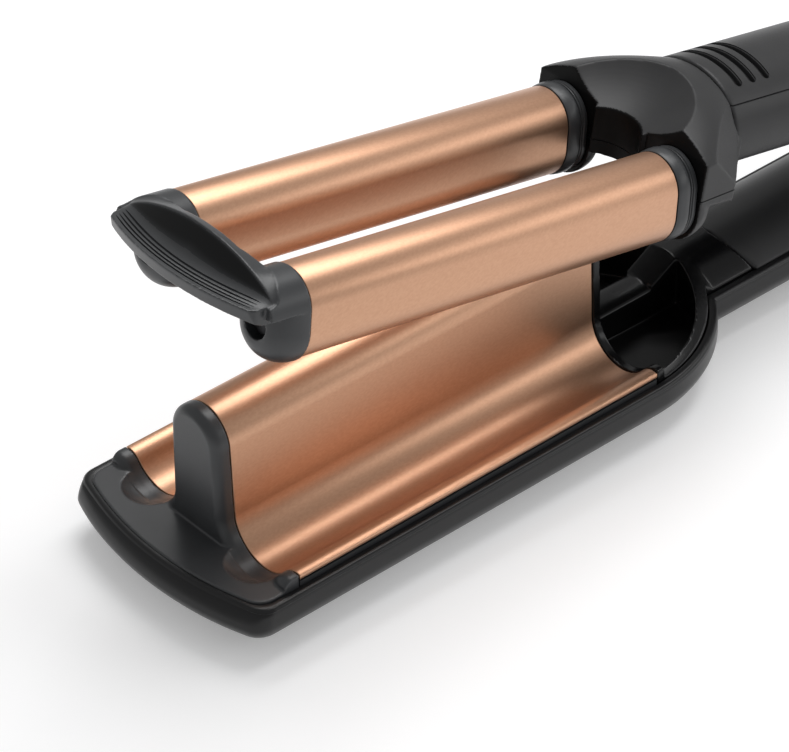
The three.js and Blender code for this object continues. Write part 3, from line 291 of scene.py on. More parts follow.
def round_edges(piece, width, segments=3, angle=35):
    add_step(piece, "BEVEL", width=width * MM, segments=segments, limit_method="ANGLE",
             angle_limit=math.radians(angle), use_clamp_overlap=True, harden_normals=False)
    settle(piece)
    soften(piece, angle)
    print(piece.name, "has", len(piece.data.polygons), "faces")


def dress(piece, body, material, node, angle=0):
    """Gives a piece its material, puts it on a body and lets it stand for a node of the model."""
    if angle:
        soften(piece, angle)
    piece.data.materials.clear()
    piece.data.materials.append(material)
    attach(piece, body)
    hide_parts(node)


def read_all(items, field):
    """One vector of every item of a mesh, as rows."""
    flat = np.empty(len(items) * 3)
    items.foreach_get(field, flat)
    return flat.reshape(-1, 3)


def shade_upper(piece, material, inside):
    """Gives a second, darker material that paints shade to the faces that pass a test of their middle and lean
    in the upper frame.
    """
    piece.data.materials.append(material)
    faces = piece.data.polygons
    lean = (read_all(faces, "normal") @ TILT.T)[:, 0]
    chosen = inside(off_upper(read_all(faces, "center")), lean)
    faces.foreach_set("material_index", chosen.astype(int))
    print(piece.name, "has", int(chosen.sum()), "darker faces")


print("tools are ready")

# %% [markdown]
# A real surface is never one flat colour. A painted image could show that, but it needs a layout of every
# surface. So each finish mixes two near colours with a fine noise, lets the roughness wander a little and
# adds a very shallow bump. The noise is laid out in object space, so its grain has a real size and stays on
# the part. A finish with a hollow colour also darkens where the shade layer of the piece is high: that is
# painted shade.

# %% Finish helper
NOISE_LOW = 0.3
NOISE_HIGH = 0.7


def feed(tree, node, **values):
    """Sets inputs of a shader node. A value that is a socket of another node is linked."""
    for name, value in values.items():
        socket = node.inputs[name.replace("_", " ")]
        if isinstance(value, bpy.types.NodeSocket):
            tree.links.new(value, socket)
        else:
            socket.default_value = value


def node_of(tree, kind, **values):
    """The first output of a new shader node with such inputs."""
    node = tree.nodes.new("ShaderNode" + kind)
    feed(tree, node, **values)
    return node.outputs[0]


def grain_of(tree, size, stretch, tilt, detail):
    """Noise whose grain is that many millimetres, stretched along the axes and tilted about Y."""
    place = tree.nodes.new("ShaderNodeTexCoord").outputs["Object"]
    laid = node_of(tree, "Mapping", Vector=place, Rotation=(0, tilt, 0))
    spread = node_of(tree, "Mapping", Vector=laid, Scale=tuple(1 / (size * MM * s) for s in stretch))
    return node_of(tree, "TexNoise", Vector=spread, Scale=1.0, Detail=detail)


def ranged(tree, value, low, high):
    return node_of(tree, "MapRange", Value=value, From_Min=NOISE_LOW, From_Max=NOISE_HIGH, To_Min=low,
                   To_Max=high)


def mixed(tree, factor, *pair):
    """Mixes two colours by a factor. Each is a colour or the socket that gives one."""
    step = tree.nodes.new("ShaderNodeMix")
    step.data_type = "RGBA"
    for socket, colour in zip([socket for socket in step.inputs if socket.type == "RGBA"], pair):
        if isinstance(colour, tuple):
            socket.default_value = (*colour, 1)
        else:
            tree.links.new(colour, socket)
    tree.links.new(factor, step.inputs["Factor"])
    return [socket for socket in step.outputs if socket.type == "RGBA"][0]


def finish(name, dark, light, rough, metal=0.0, mottle=6.0, tooth=0.5, depth=0.004, stretch=(1, 1, 1),
           tilt=0.0, specular=0.5, coat=0.0, coat_rough=0.2, hollow=None):
    """A finish between two colours. Rough is a pair, mottle and tooth are grains, and depth is the bump.
    A hollow colour is painted shade.
    """
    material = bpy.data.materials.new(name)
    material.use_nodes = True
    tree = material.node_tree
    shader = tree.nodes["Principled BSDF"]
    broad = grain_of(tree, mottle, stretch, tilt, detail=3.0)
    fine = grain_of(tree, tooth, stretch, tilt, detail=2.0)
    colour = mixed(tree, ranged(tree, broad, 0, 1), dark, light)
    # Painted shade: the colour darkens towards the hollow colour where the piece's shade layer is high.
    if hollow:
        layer = tree.nodes.new("ShaderNodeAttribute")
        layer.attribute_name = "shade"
        colour = mixed(tree, layer.outputs["Fac"], colour, hollow)
    feed(tree, shader, Base_Color=colour, Metallic=metal, Roughness=ranged(tree, fine, *rough),
         Specular_IOR_Level=specular, Coat_Weight=coat, Coat_Roughness=coat_rough,
         Normal=node_of(tree, "Bump", Strength=1.0, Distance=depth * MM, Height=fine))
    return material


print("finish helper is ready")

# %% [markdown]
# The hot surfaces have a rose-gold coating: a satin metal with a fine grain drawn along the barrels. It could
# be a mirror-like metal with a bump, but the real one only blurs what it mirrors, so the roughness does most
# of the work. The other finishes are black plastics, a slightly blue charcoal plastic that stands heat,
# steel, aluminium, ceramic, board lacquer and amber lenses. Values that several of them share are written
# once. Some of them paint shade: a near-black matt plastic on the yoke's recess and front, the two charcoals
# of the tip, which darken in its hollow, and a dark steel on the tip screws, which makes their holes look
# shaded.

# %% Finishes
COPPER = ((0.575, 0.325, 0.205), (0.625, 0.365, 0.235), (0.36, 0.40))
SATIN = dict(metal=0.92, mottle=0.5, tooth=0.30, depth=0.0003, stretch=(2, 1, 1), coat=0.06, coat_rough=0.30)
PLASTIC = dict(mottle=9, tooth=0.4, depth=0.0016)
CHARCOAL = ((0.032, 0.0335, 0.0360), (0.038, 0.040, 0.0425), (0.34, 0.40))
HEAT_GRAIN = dict(mottle=7, tooth=0.35)
# The colour of the painted shade in the hollow of the tip.
PAINTED_HOLLOW_SHADE = (0.0020, 0.0021, 0.0024)
plate_copper = finish("rose gold plate", *COPPER, **SATIN)
barrel_copper = finish("rose gold barrel", *COPPER, tilt=OPEN_ANGLE, **SATIN)
black_plastic = finish("black satin plastic", (0.030, 0.030, 0.031), (0.035, 0.035, 0.036), (0.38, 0.44),
    specular=0.28, **PLASTIC)
# Painted shade for the yoke's recess and front faces.
painted_shade_plastic = finish("black plastic, painted shade", (0.0022, 0.0022, 0.0024), (0.0030, 0.0030, 0.0032),
    (0.45, 0.52), specular=0.15, **PLASTIC)
casing_plastic = finish("black casing plastic", (0.0075, 0.0075, 0.0080), (0.0095, 0.0095, 0.0100),
    (0.28, 0.34), specular=0.36, **PLASTIC)
gloss_plastic = finish("black gloss plastic", (0.0035, 0.0035, 0.0038), (0.0045, 0.0045, 0.0050),
    (0.20, 0.26), mottle=9, tooth=0.5, depth=0.0008, specular=0.3)
heat_plastic = finish("charcoal heat plastic", *CHARCOAL, **HEAT_GRAIN, depth=0.0026)
# The tip's finish paints shade into its hollow, and a twin with a weaker gloss paints more of it there.
tip_plastic = finish("charcoal tip plastic, painted shade", *CHARCOAL, **HEAT_GRAIN, depth=0.0026, hollow=PAINTED_HOLLOW_SHADE)
painted_shade_tip_plastic = finish("charcoal plastic, painted hollow shade", *CHARCOAL, **HEAT_GRAIN, depth=0.0016,
    specular=0.24, hollow=PAINTED_HOLLOW_SHADE)
button_plastic = finish("button plastic", (0.012, 0.012, 0.0135), (0.015, 0.015, 0.0165), (0.24, 0.30),
    mottle=4, tooth=0.4, depth=0.0015)
steel = finish("zinc plated steel", (0.50, 0.51, 0.53), (0.62, 0.62, 0.63), (0.26, 0.36), metal=1.0,
    mottle=2, tooth=0.25, depth=0.0015)
# Painted shade: the tip screws are made dark so that their holes look shaded.
dark_steel = finish("dark steel, painted hole shade", (0.020, 0.020, 0.022), (0.032, 0.032, 0.035), (0.38, 0.50),
    metal=0.6, mottle=1.5, tooth=0.25, depth=0.0020)
aluminium = finish("extruded aluminium", (0.62, 0.63, 0.64), (0.72, 0.72, 0.73), (0.34, 0.45), metal=1.0,
    mottle=3, tooth=0.3, depth=0.0020, stretch=(12, 1, 1))
ceramic = finish("heater ceramic", (0.66, 0.63, 0.56), (0.76, 0.74, 0.68), (0.55, 0.68), mottle=3,
    tooth=0.3, depth=0.0060)
board = finish("board lacquer", (0.010, 0.075, 0.030), (0.016, 0.110, 0.045), (0.30, 0.42), mottle=3,
    tooth=0.5, depth=0.0050)
amber = finish("amber lens", (0.60, 0.17, 0.03), (0.70, 0.24, 0.05), (0.08, 0.14), mottle=2, tooth=0.5,
    depth=0.0008, coat=0.5)
print("finishes:", [material.name for material in bpy.data.materials])

# %% [markdown]
# The plate, the tongue in front of it and the end wall behind it share one section: a tall ridge between two
# round troughs, with a rolled lip outside each. A free curve could follow it. Arcs that touch each other
# smoothly were chosen, because the troughs have to fit round barrels, and because the same arcs can be sunk
# by a depth for the underside and the bevels.

# %% Wave section
TRACK_Y = 19.08
PLATE_LENGTH = 112.6
RIDGE = (8.42, 23.23)
TROUGH = (10.22, 5.25)
LIP_RADIUS = 4.6
LIP_ANGLE = -38.2
LIP_EDGE_Y = 32.0
drop = TROUGH[1] - RIDGE[1]
apart = math.hypot(TRACK_Y, drop)
FLANK = math.degrees(math.atan2(drop, TRACK_Y) + math.acos((RIDGE[0] + TROUGH[0]) / apart))
reach = TROUGH[0] + LIP_RADIUS
lean = math.radians(LIP_ANGLE)
LIP_CENTRE = (TRACK_Y + reach * math.cos(lean), TROUGH[1] + reach * math.sin(lean))


def wave(depth):
    """The face of the plate from lip to lip, as (y, z), sunk by a depth."""
    ridge, trough, lip = RIDGE[0] - depth, TROUGH[0] + depth, LIP_RADIUS - depth
    lip_end = math.degrees(math.acos(min(1, (LIP_EDGE_Y - LIP_CENTRE[0]) / lip)))
    half = np.vstack([
        arc((0, RIDGE[1]), ridge, ridge, 90, FLANK, 20),
        arc((TRACK_Y, TROUGH[1]), trough, trough, 180 + FLANK, 360 + LIP_ANGLE, 40)[1:],
        arc(LIP_CENTRE, lip, lip, 180 + LIP_ANGLE, lip_end, 12)[1:],
    ])
    return np.vstack([half[:0:-1] * (-1, 1), half])


def wave_to(depth, level):
    """The same face, closed by a straight line at a level above or below it."""
    face = wave(depth)
    edge = face[-1, 0]
    return np.vstack([face, [(edge, level), (-edge, level)]])


def at_x(x, section):
    return np.column_stack([np.full(len(section), float(x)), section])


print("points in the wave section:", len(wave(0)))

# %% [markdown]
# The wave plate is one pressed and coated sheet. A flat grid could be bent for it, but the section is known
# already. So the line of its face and the line one thickness below are joined into one outline, which is
# carried along the length. The sheet is thin and its cut edges are simple, so here a small bevel rounds them.

# %% Wave plate
PLATE_THICKNESS = 1.2
EDGE_ROUND = 0.22
plate_section = np.vstack([wave(0), wave(PLATE_THICKNESS)[::-1]])
plate = skin("pressed_wave_plate", [at_x(x, plate_section) for x in (0, PLATE_LENGTH)], in_jaw)
round_edges(plate, EDGE_ROUND)
dress(plate, "lower_half", plate_copper, "wave_plate")
print("plate length in mm:", round(plate.dimensions.x / MM, 1))

# %% [markdown]
# The lower casing is a long moulded tub. Its plan is a shallow nose arc, two tight corners, a curve that
# narrows to the arm and a rounded tail. It could be traced as a curve object. A function was chosen, because
# it gives the same plan at any inset, which keeps the wall even and lets other pieces fit inside it.

# %% Casing plan
CASING_TIP = -19.5
CASING_HALF = 34.6
NOSE_RADIUS = 100.0
NOSE_CORNER = 5.0
REAR_X = 112.0
REAR_LENGTH = 42.0
REAR_LEAN = 0.05
ARM_HALF = 17.2
TAIL_X = 308.0
TAIL_ROUND = 0.55
RIM_Z = -2.5
RIM_LEAN = 0.2
BELLY_Z = -7.5
BASE_Z = -17.0
TURN_IN = 12.5
WALL = 2.2
GAP = 0.3
CHIN_X = -3.0
CHIN_RUN = 13.0
CHIN_FADE = 1.2
BELLY_DROP_POWER = 1.18
BELLY_SIDE_POWER = 1.26


def casing_half(inset):
    half, arm, nose = CASING_HALF - inset, ARM_HALF - inset, NOSE_RADIUS - inset
    nose_x = CASING_TIP + NOSE_RADIUS
    corner_y = half - NOSE_CORNER
    corner_x = nose_x - math.sqrt((nose - NOSE_CORNER) ** 2 - corner_y ** 2)
    corner_angle = math.degrees(math.atan2(corner_y, corner_x - nose_x))
    rear = arc((0, 0), 1, 1, 90, math.degrees(math.asin(arm / half)), 28)
    lean = 1 - REAR_LEAN * np.maximum(0, rear[:, 0]) * rear[:, 1]
    rear_x = REAR_X + (REAR_LENGTH - inset) * rear[:, 0] * lean
    rear_y = half * rear[:, 1] * (1 + (lean - 1) * rear[:, 0])
    corner = arm * TAIL_ROUND
    side_x = np.linspace(corner_x, REAR_X, 14)[1:-1]
    return np.vstack([
        arc((nose_x, 0), nose, nose, 180, corner_angle, 20),
        arc((corner_x, corner_y), NOSE_CORNER, NOSE_CORNER, corner_angle, 90, 12)[1:],
        np.column_stack([side_x, np.full(len(side_x), half)]),
        np.column_stack([rear_x, rear_y]),
        arc((TAIL_X - inset - corner, arm - corner), corner, corner, 90, 0, 10),
    ])


def casing_plan(inset):
    half = casing_half(inset)
    half[0, 1] = 0
    return np.vstack([half, half[:0:-1] * (1, -1)])


def casing_ring(z, inset, chin=0.0):
    """The plan at a height. The chin pushes the nose forward and fades out along its corners."""
    plan = casing_plan(inset)
    fade = np.clip((CHIN_X - plan[:, 0]) / CHIN_RUN, 0, 1) ** CHIN_FADE
    plan[:, 0] -= chin * fade
    return np.column_stack([plan, np.full(len(plan), z)])


def turn_under(inset, bottom, count, chin=0.0):
    """Rings that round the belly into the base."""
    rings = []
    for angle in np.linspace(0, math.pi / 2, count + 1)[1:]:
        low = math.sin(angle) ** BELLY_DROP_POWER
        side = 1 - max(0, math.cos(angle)) ** BELLY_SIDE_POWER
        level = BELLY_Z + (bottom - BELLY_Z) * low
        rings.append(casing_ring(level, inset + TURN_IN * side, chin * (1 - side)))
    return rings


print("points in the casing plan:", len(casing_plan(0)))

# %% [markdown]
# The tub could be a solid that is hollowed out. Instead, rings of the plan run up the inside, over the rim
# and down the outside, because the rim, the crease at the nose and the belly then get small steps of their
# own. The neck for the cord is joined on, and its bore, the room of the hinge and the screw holes are cut.

# %% Lower casing
NOSE_SETBACK = -1.0
CHIN = 1.1
NECK_RADIUS = 8.2
NECK_END_X = 317.0
SWIVEL_Z = -8.6
SWIVEL_BORE = 5.9
SWIVEL_START_X = 304
BORE_END_X = 318
FLANGE_ROOM = 6.7
FLANGE_ROOM_SPAN = (286, 306.7)
INSIDE_START_Z = RIM_Z - 0.35
SIDE_CUT_Y = 40
DRUM = 8.0
CASING_SCREWS = ((26, 0), (88, 0), (186, 0), (272, 0))
RIM_STEPS = ((-0.08, 2.2), (0, 1.95), (0, 1.2), (-0.04, 0.75), (-0.18, 0.42), (-0.45, 0.2))
OUTSIDE_STEPS = ((-3.35, 0.15, -1.02), (-3.55, 0.25, -1.12), (-3.75, 0.22, -1.05), (-3.95, 0.12, -0.75),
                 (-4.5, 0.1, -0.25), (-5.3, 0.06, 0.25), (-6.3, 0.03, 0.75), (BELLY_Z, 0, CHIN))
inside = [casing_ring(INSIDE_START_Z, WALL + RIM_LEAN, NOSE_SETBACK), *turn_under(WALL, BASE_Z + WALL, 10)]
rim = [casing_ring(RIM_Z + rise, inset + RIM_LEAN, NOSE_SETBACK) for rise, inset in RIM_STEPS]
outside = [casing_ring(*step) for step in OUTSIDE_STEPS] + turn_under(0, BASE_Z, 14, CHIN)
casing = skin("tub_casing", inside[::-1] + rim + outside, in_jaw)
join(casing, rod_x("neck", NECK_RADIUS, (0, SWIVEL_Z), TAIL_X - 5, NECK_END_X, in_jaw, 64))
cut(casing,
    rod_x("bore", SWIVEL_BORE, (0, SWIVEL_Z), SWIVEL_START_X, BORE_END_X, in_jaw, 64),
    rod_x("flange room", FLANGE_ROOM, (0, SWIVEL_Z), *FLANGE_ROOM_SPAN, in_jaw, 64),
    rod_y("drum room", DRUM + GAP, HINGE, -SIDE_CUT_Y, SIDE_CUT_Y, in_jaw, 96),
    *screw_bores(CASING_SCREWS, BASE_Z - 3, BASE_Z, in_jaw))
dress(casing, "lower_half", casing_plastic, "lower_casing", 40)
print("casing faces:", len(casing.data.polygons))

# %% [markdown]
# The front bezel closes the nose. A tongue carries the plate's section forward, with a wide bevel round its
# front face, and a shallow bowl in front of each trough leaves room for the barrel tips. It could be carved
# from one block. It is put together from a floor, cuts and the tongue, because these take their sizes from
# the plate and the casing, and the casting then blends them.

# %% Front bezel
FRONT_BASE_Z = -7.6
BEZEL_FLOOR_Z = -2.0
PROUD = 0.1
BOWL_X = -4.0
BOWL = (8.5, 10.0, 10.0)
ABOVE_ALL = 70
TONGUE_FOOT_Z = -7.3
TONGUE_STEPS = ((-GAP, -PROUD), (-2.3, -PROUD), (-2.9, 0.0), (-3.5, 0.3), (-4.0, 0.75), (-4.35, 1.25),
                (-4.6, 1.75))
floor_plan = casing_plan(WALL + RIM_LEAN + GAP)
front = prism("front_bezel_floor", floor_plan, FRONT_BASE_Z, BEZEL_FLOOR_Z, in_jaw, axis=2)
keep_inside(front, box("front space", (-40, -40, -12), (-GAP, 40, 60), in_jaw))
cut(front,
    prism("track", wave_to(0, ABOVE_ALL), BOWL_X - 1, 5, in_jaw),
    *[ball("bowl", BOWL, (BOWL_X, side * TRACK_Y, TROUGH[1]), in_jaw) for side in (-1, 1)])
join(front, skin("tongue", [at_x(x, wave_to(depth, TONGUE_FOOT_Z)) for x, depth in TONGUE_STEPS], in_jaw))
cast(front, 0.27, 2)
dress(front, "lower_half", heat_plastic, "front_bezel")

# %% [markdown]
# The rear bezel has an end wall in the plate's section and two pockets that take the collars of the closed
# barrels. A narrow, low bar with a rounded top runs between the pockets and climbs to the neck, which goes on
# to the handle seam. It could be drawn face by face. A block of arched sections with pockets cut in plan was
# chosen, because the outlines from above and from the front are what is known of it.

# %% Rear bezel
END_WALL_X = PLATE_LENGTH + GAP
POCKET_X = END_WALL_X + 2.5
POCKET_FLOOR_Z = -9.5
POCKET = (34.0, 29.6)
BAR_HALF = 4.6
BAR_TOP = -0.5
BAR_RAMP = 8.6
BAR_ROUND = 1.6
BAR_FOOT_Z = -9.6
OVER_BAR_Z = 12
NECK_TOP = 4.5
NECK_BASE_Z = -12
REAR_BASE_Z = -11.7
CUT_OVER = 0.1
PAST_SEAM = 8
WALL_JOINT = 0.5
RAMP_JOINT = 2
SEAM_X = 159.5
SEAM_RADIUS = 30.0
SEAM_AT = (SEAM_X + SEAM_RADIUS, 0)


def neck_section(x):
    share = min(1, max(0, (x - REAR_X) / REAR_LENGTH))
    half = max(CASING_HALF * math.sqrt(1 - share ** 2), ARM_HALF) - WALL - RIM_LEAN
    rise = NECK_TOP - RIM_Z
    radius = (half ** 2 + rise ** 2) / (2 * rise)
    spread = math.degrees(math.asin(min(1, half / radius)))
    top = arc((0, NECK_TOP - radius), radius, radius, 90 - spread, 90 + spread, 40)
    return np.vstack([[(half, NECK_BASE_Z)], top, [(-half, NECK_BASE_Z)]])


def pocket_plan(side):
    start = math.degrees(math.asin(BAR_HALF / POCKET[1]))
    curve = arc((REAR_X, 0), *POCKET, start, 90, 40)
    curve = curve[curve[:, 0] > POCKET_X]
    plan = np.vstack([[(POCKET_X, BAR_HALF)], curve, [(POCKET_X, POCKET[1])]])
    return plan * (1, side)


neck_rings = [at_x(x, neck_section(x)) for x in np.linspace(END_WALL_X, SEAM_X + PAST_SEAM, 36)]
rear = skin("rear_bezel_block", neck_rings, in_jaw)
cut(rear, prism("over the wall", wave_to(-PROUD, ABOVE_ALL), END_WALL_X - 1, POCKET_X, in_jaw),
    *[prism("pocket", pocket_plan(side), POCKET_FLOOR_Z, 20, in_jaw, axis=2) for side in (-1, 1)])
bar_end = REAR_X + POCKET[0] * math.sqrt(1 - (BAR_HALF / POCKET[1]) ** 2)
ramp_x = bar_end - BAR_RAMP
over_bar = [(POCKET_X, BAR_TOP), (ramp_x, BAR_TOP), (bar_end, NECK_TOP - CUT_OVER), (bar_end, OVER_BAR_Z),
            (POCKET_X, OVER_BAR_Z)]
bar_space = BAR_HALF + CUT_OVER
cut(rear,
    prism("over the bar", over_bar, -bar_space, bar_space, in_jaw, axis=1),
    box("bar edges", (POCKET_X, -bar_space, BAR_TOP - BAR_ROUND), (ramp_x, bar_space, OVER_BAR_Z), in_jaw))
bar_top = np.vstack([arc((0, BAR_TOP - BAR_ROUND), BAR_HALF, BAR_ROUND, 0, 180, 24),
                     [(-BAR_HALF, BAR_FOOT_Z), (BAR_HALF, BAR_FOOT_Z)]])
join(rear,
     prism("bar top", bar_top, POCKET_X - WALL_JOINT, ramp_x + RAMP_JOINT, in_jaw),
     prism("end wall", wave_to(-PROUD, NECK_BASE_Z), END_WALL_X, POCKET_X, in_jaw))
cut(rear, rod_z("seam", SEAM_RADIUS + GAP, SEAM_AT, -50, 50, in_jaw, 256))
keep_inside(rear, prism("casing inside", casing_plan(WALL + RIM_LEAN + GAP), REAR_BASE_Z, 60, in_jaw, axis=2))
cast(rear, 0.335, 2)
dress(rear, "lower_half", gloss_plastic, "rear_bezel")

# %% [markdown]
# The lower handle cover is a low arch over the casing. Its front edge follows the round seam, and its end
# turns down to the tail. Two ears at the end carry the hinge pin. A plate could be bent for it, but arches
# that shrink towards the tail also give the rounded end, and a drum of the seam's own size cuts the front.

# %% Lower handle cover
COVER_TOP = 4.2
COVER_HALF = 15.2
COVER_END = 9.0
COVER_NARROW = 0.8
KNUCKLE_HALF = 8.0
EAR_HALF = 15.6
CAP_RECESS = 6.3
CAP_RECESS_DEPTH = 1.5
PIN_BORE = 2.8
COVER_FOOT = 0.4
PAST_EARS = 17


def cover_section(x):
    foot_z = RIM_Z + GAP
    rise = COVER_TOP - foot_z
    radius = (COVER_HALF ** 2 + rise ** 2) / (2 * rise)
    spread = math.degrees(math.asin(COVER_HALF / radius))
    past = min(1, max(0, (x - (TAIL_X - COVER_END)) / (COVER_END * 1.04)))
    share = math.sqrt(1 - past ** 2)
    narrow = COVER_NARROW + (1 - COVER_NARROW) * share
    top = arc((0, COVER_TOP - radius), radius, radius, 90 - spread, 90 + spread, 40)
    top = np.column_stack([top[:, 0] * narrow, foot_z + (top[:, 1] - foot_z) * share])
    half = COVER_HALF * narrow
    return np.vstack([[(half, foot_z - COVER_FOOT)], top, [(-half, foot_z - COVER_FOOT)]])


ends = [TAIL_X - COVER_END + COVER_END * math.sin(angle) for angle in np.linspace(0, math.pi / 2, 16)]
cover = skin("lower_grip_cover", [at_x(x, cover_section(x)) for x in (SEAM_X - 2, *ends)], in_jaw)
behind = rod_z("behind the seam", SEAM_RADIUS, SEAM_AT, -50, 50, in_jaw, 256)
keep_inside(cover, join(behind, box("the rest", (SEAM_AT[0], -60, -49), (330, 60, 49), in_jaw)))
slot_half = KNUCKLE_HALF + GAP
join(cover, *[rod_y("ear", DRUM, HINGE, side * slot_half, side * EAR_HALF, in_jaw, 96) for side in (-1, 1)])
cut(cover,
    box("knuckle slot", (HINGE_X - DRUM - 3, -slot_half, -20), (HINGE_X + DRUM + GAP + 0.5, slot_half, 20),
        in_jaw),
    *[rod_y("cap recess", CAP_RECESS, HINGE, side * (EAR_HALF - CAP_RECESS_DEPTH), side * PAST_EARS,
            in_jaw, 64)
      for side in (-1, 1)],
    rod_y("pin bore", PIN_BORE, HINGE, -PAST_EARS, PAST_EARS, in_jaw, 48),
    rod_x("neck room", NECK_RADIUS + GAP, (0, SWIVEL_Z), SWIVEL_START_X, BORE_END_X, in_jaw, 64))
cast(cover, 0.45, 3)
dress(cover, "lower_half", black_plastic, "lower_handle_cover")

# %% [markdown]
# Hinge caps and the cord swivel are round. They could be put together from cylinders and bevels. Each is a
# short profile of radius and height swung round its axis instead, as on a lathe, because small steps in the
# profile give its rounded edges and ribs.

# %% Turned parts of the lower half
CAP_PROFILE = ((0.4, -1.35), (5.7, -1.35), (6.0, -1.05), (6.0, -0.2), (5.85, 0.05), (5.5, 0.2), (4.6, 0.24),
               (4.4, 0.05), (1.6, -0.1), (1.4, 0.1), (0.4, 0.14))
SWIVEL_BODY = ((3.2, SWIVEL_START_X), (6.4, SWIVEL_START_X), (6.4, 306.4), (5.6, 306.5), (5.6, 317.4),
               (5.5, 317.6))
SWIVEL_END = ((4.85, 324.4), (4.6, 324.9), (4.2, 325.0), (3.5, 325.0), (3.2, 324.7))
SWIVEL_RIBS = 4
RIB_START_X = 318.4
RIB_PITCH = 1.5
RIB_RADIUS = 5.45
RIB_TAPER = 0.13
RIB_STEPS = ((0, 0), (-0.35, 0.25), (-0.35, 0.75), (-0.05, 1.0))
for word, side in (("near", -1), ("far", 1)):
    face = (HINGE_X, side * EAR_HALF, HINGE_Z)
    cap = turned("hinge_disc_" + word, CAP_PROFILE, face, (0, side, 0), in_jaw, 64)
    dress(cap, "lower_half", steel, "hinge_cap_" + word, 40)

ribs = [(RIB_RADIUS - RIB_TAPER * i + grown, RIB_START_X + RIB_PITCH * i + step)
        for i in range(SWIVEL_RIBS) for grown, step in RIB_STEPS]
swivel_profile = [*SWIVEL_BODY, *ribs, *SWIVEL_END]
rings = [[(x, radius * math.cos(angle), SWIVEL_Z + radius * math.sin(angle)) for angle in around(96)]
         for radius, x in swivel_profile]
swivel = skin("cord_outlet_swivel", rings, in_jaw, wrap=True)
dress(swivel, "cord_swivel", button_plastic, "cord_swivel", 35)
print("swivel rings:", len(swivel_profile))

# %% [markdown]
# Each barrel is a metal tube with two arcs in its section: a flatter crown over a round belly. A plastic
# collar behind it swells out a little and has fine grooves. Both could be squeezed cylinders, but light
# breaks at the crease between the arcs. So the section is drawn from the two arcs where they meet, and steps
# along the barrel grow or shrink it.

# %% Barrels and collars
BARREL_LENGTH = 114.8
BARREL_WALL = 1.2
BELLY_RADIUS = TROUGH[0] - 1.12
BELLY_Z_UP = -9.27
CROWN_TOP = 4.2
CROWN_HALF = 8.45
CROWN_RISE = 7.0
CROWN_RADIUS = (CROWN_HALF ** 2 + CROWN_RISE ** 2) / (2 * CROWN_RISE)
CROWN_Z = CROWN_TOP - CROWN_RADIUS
CROWN_ANGLE = math.degrees(math.asin(CROWN_HALF / CROWN_RADIUS))
crease = CROWN_TOP - CROWN_RISE - BELLY_Z_UP
meet = math.atan2(crease, CROWN_HALF) - math.acos(BELLY_RADIUS / math.hypot(crease, CROWN_HALF))
BELLY_ANGLE = math.degrees(meet)
COLLAR_X = BARREL_LENGTH + GAP
COLLAR_STEPS = ((0, -0.5), (0, 0.02), (0.25, 0.16), (1.0, 0.34), (2.2, 0.45), (3.3, 0.45), (3.5, 0.38),
                (3.55, 0), (3.7, -0.2), (3.95, -0.2), (4.05, 0.05), (4.15, 0.2), (4.35, 0.22), (4.45, 0.12),
                (4.5, -0.1), (4.62, -0.22), (4.85, -0.22), (4.95, 0), (5.05, 0.14), (5.9, 0.16), (6.1, 0.08),
                (6.1, -1.5), (10.0, -1.5))
TUBE_STEPS = ((0, 0), (BARREL_LENGTH, 0), (BARREL_LENGTH, -BARREL_WALL), (0, -BARREL_WALL))


def crown_arc(grown, centre_y, count):
    radius = CROWN_RADIUS + grown
    return arc((centre_y, CROWN_Z), radius, radius, 90 - CROWN_ANGLE, 90 + CROWN_ANGLE, count)


def barrel_section(grown, side):
    radius = BELLY_RADIUS + grown
    belly = arc((0, BELLY_Z_UP), radius, radius, 180 - BELLY_ANGLE, 360 + BELLY_ANGLE, 44)
    return np.vstack([crown_arc(grown, 0, 28), belly]) + (side * TRACK_Y, 0)


def barrel_rings(start, steps, side):
    return [at_x(start + x, barrel_section(grown, side)) for x, grown in steps]


for word, side in (("near", -1), ("far", 1)):
    barrel = skin("coated_barrel_" + word, barrel_rings(0, TUBE_STEPS, side), in_upper, wrap=True)
    round_edges(barrel, EDGE_ROUND)
    dress(barrel, "upper_half", barrel_copper, "barrel_" + word)
    collar = skin("barrel_collar_" + word, barrel_rings(COLLAR_X, COLLAR_STEPS, side), in_upper)
    dress(collar, "upper_half", heat_plastic, "collar_" + word, 38)
print("barrel length in mm:", BARREL_LENGTH)

# %% [markdown]
# The cool tip is one moulding. Two caps close the barrels, and a thumb rest with a curved lip joins them: it
# is hollowed in front of its crest and slopes down behind it to the crowns. The rest could be sculpted. It is
# drawn by one line from the lip to the back edge at each place across, because the same line then makes both
# the rest and the tool that clears the caps above it.

# %% Thumb rest
REST_APEX_X = -20.3
REST_RADIUS = 73.0
REST_HALF = 25.5
REST_CORNER = 2.8
LIP_DEPTH = 3.6
CREST_X = -10.0
CREST_HEIGHT = 7.8
CREST_END_HEIGHT = 0.7
HOLLOW = 2.4
WEB_FOOT_Z = -7.0
WEB_ROOT_X = -3.5
WEB_LEAN = 1.9
WEB_THICKNESS = 1.6
LIP_ROOT_Z = -4.4
LIP_ROOT_AHEAD = 2.2
BRIDGE_MIDDLE = (-7.6, 7.3)
BRIDGE_CAP_X = -5.2
BRIDGE_END_X = -8.8
BRIDGE_FLAT_HALF = 9.5
BRIDGE_CAP_Y = TRACK_Y - 2.08
CAP_START_Y = TRACK_Y - BELLY_RADIUS + 0.5
STEP = 0.12
TIP_PROUD = 0.35
CORNER_STEPS = ((0.10, 0.26), (0.34, 0.09), (0.62, 0.02), (1.0, 0.0))
HOLLOW_STEPS = 18
BEND_SHARES = (0.12, 0.4, 0.7)
BEND_POWER = 1.25
CREST_POWER = 0.8
BRIDGE_POWER = 1.3
BRIDGE_FALL = 2.2


def rest_front(y):
    return REST_APEX_X + REST_RADIUS - math.sqrt(REST_RADIUS ** 2 - y ** 2)


def cap_crown_z(y):
    return CROWN_Z + math.sqrt((CROWN_RADIUS + TIP_PROUD) ** 2 - (abs(y) - TRACK_Y) ** 2)


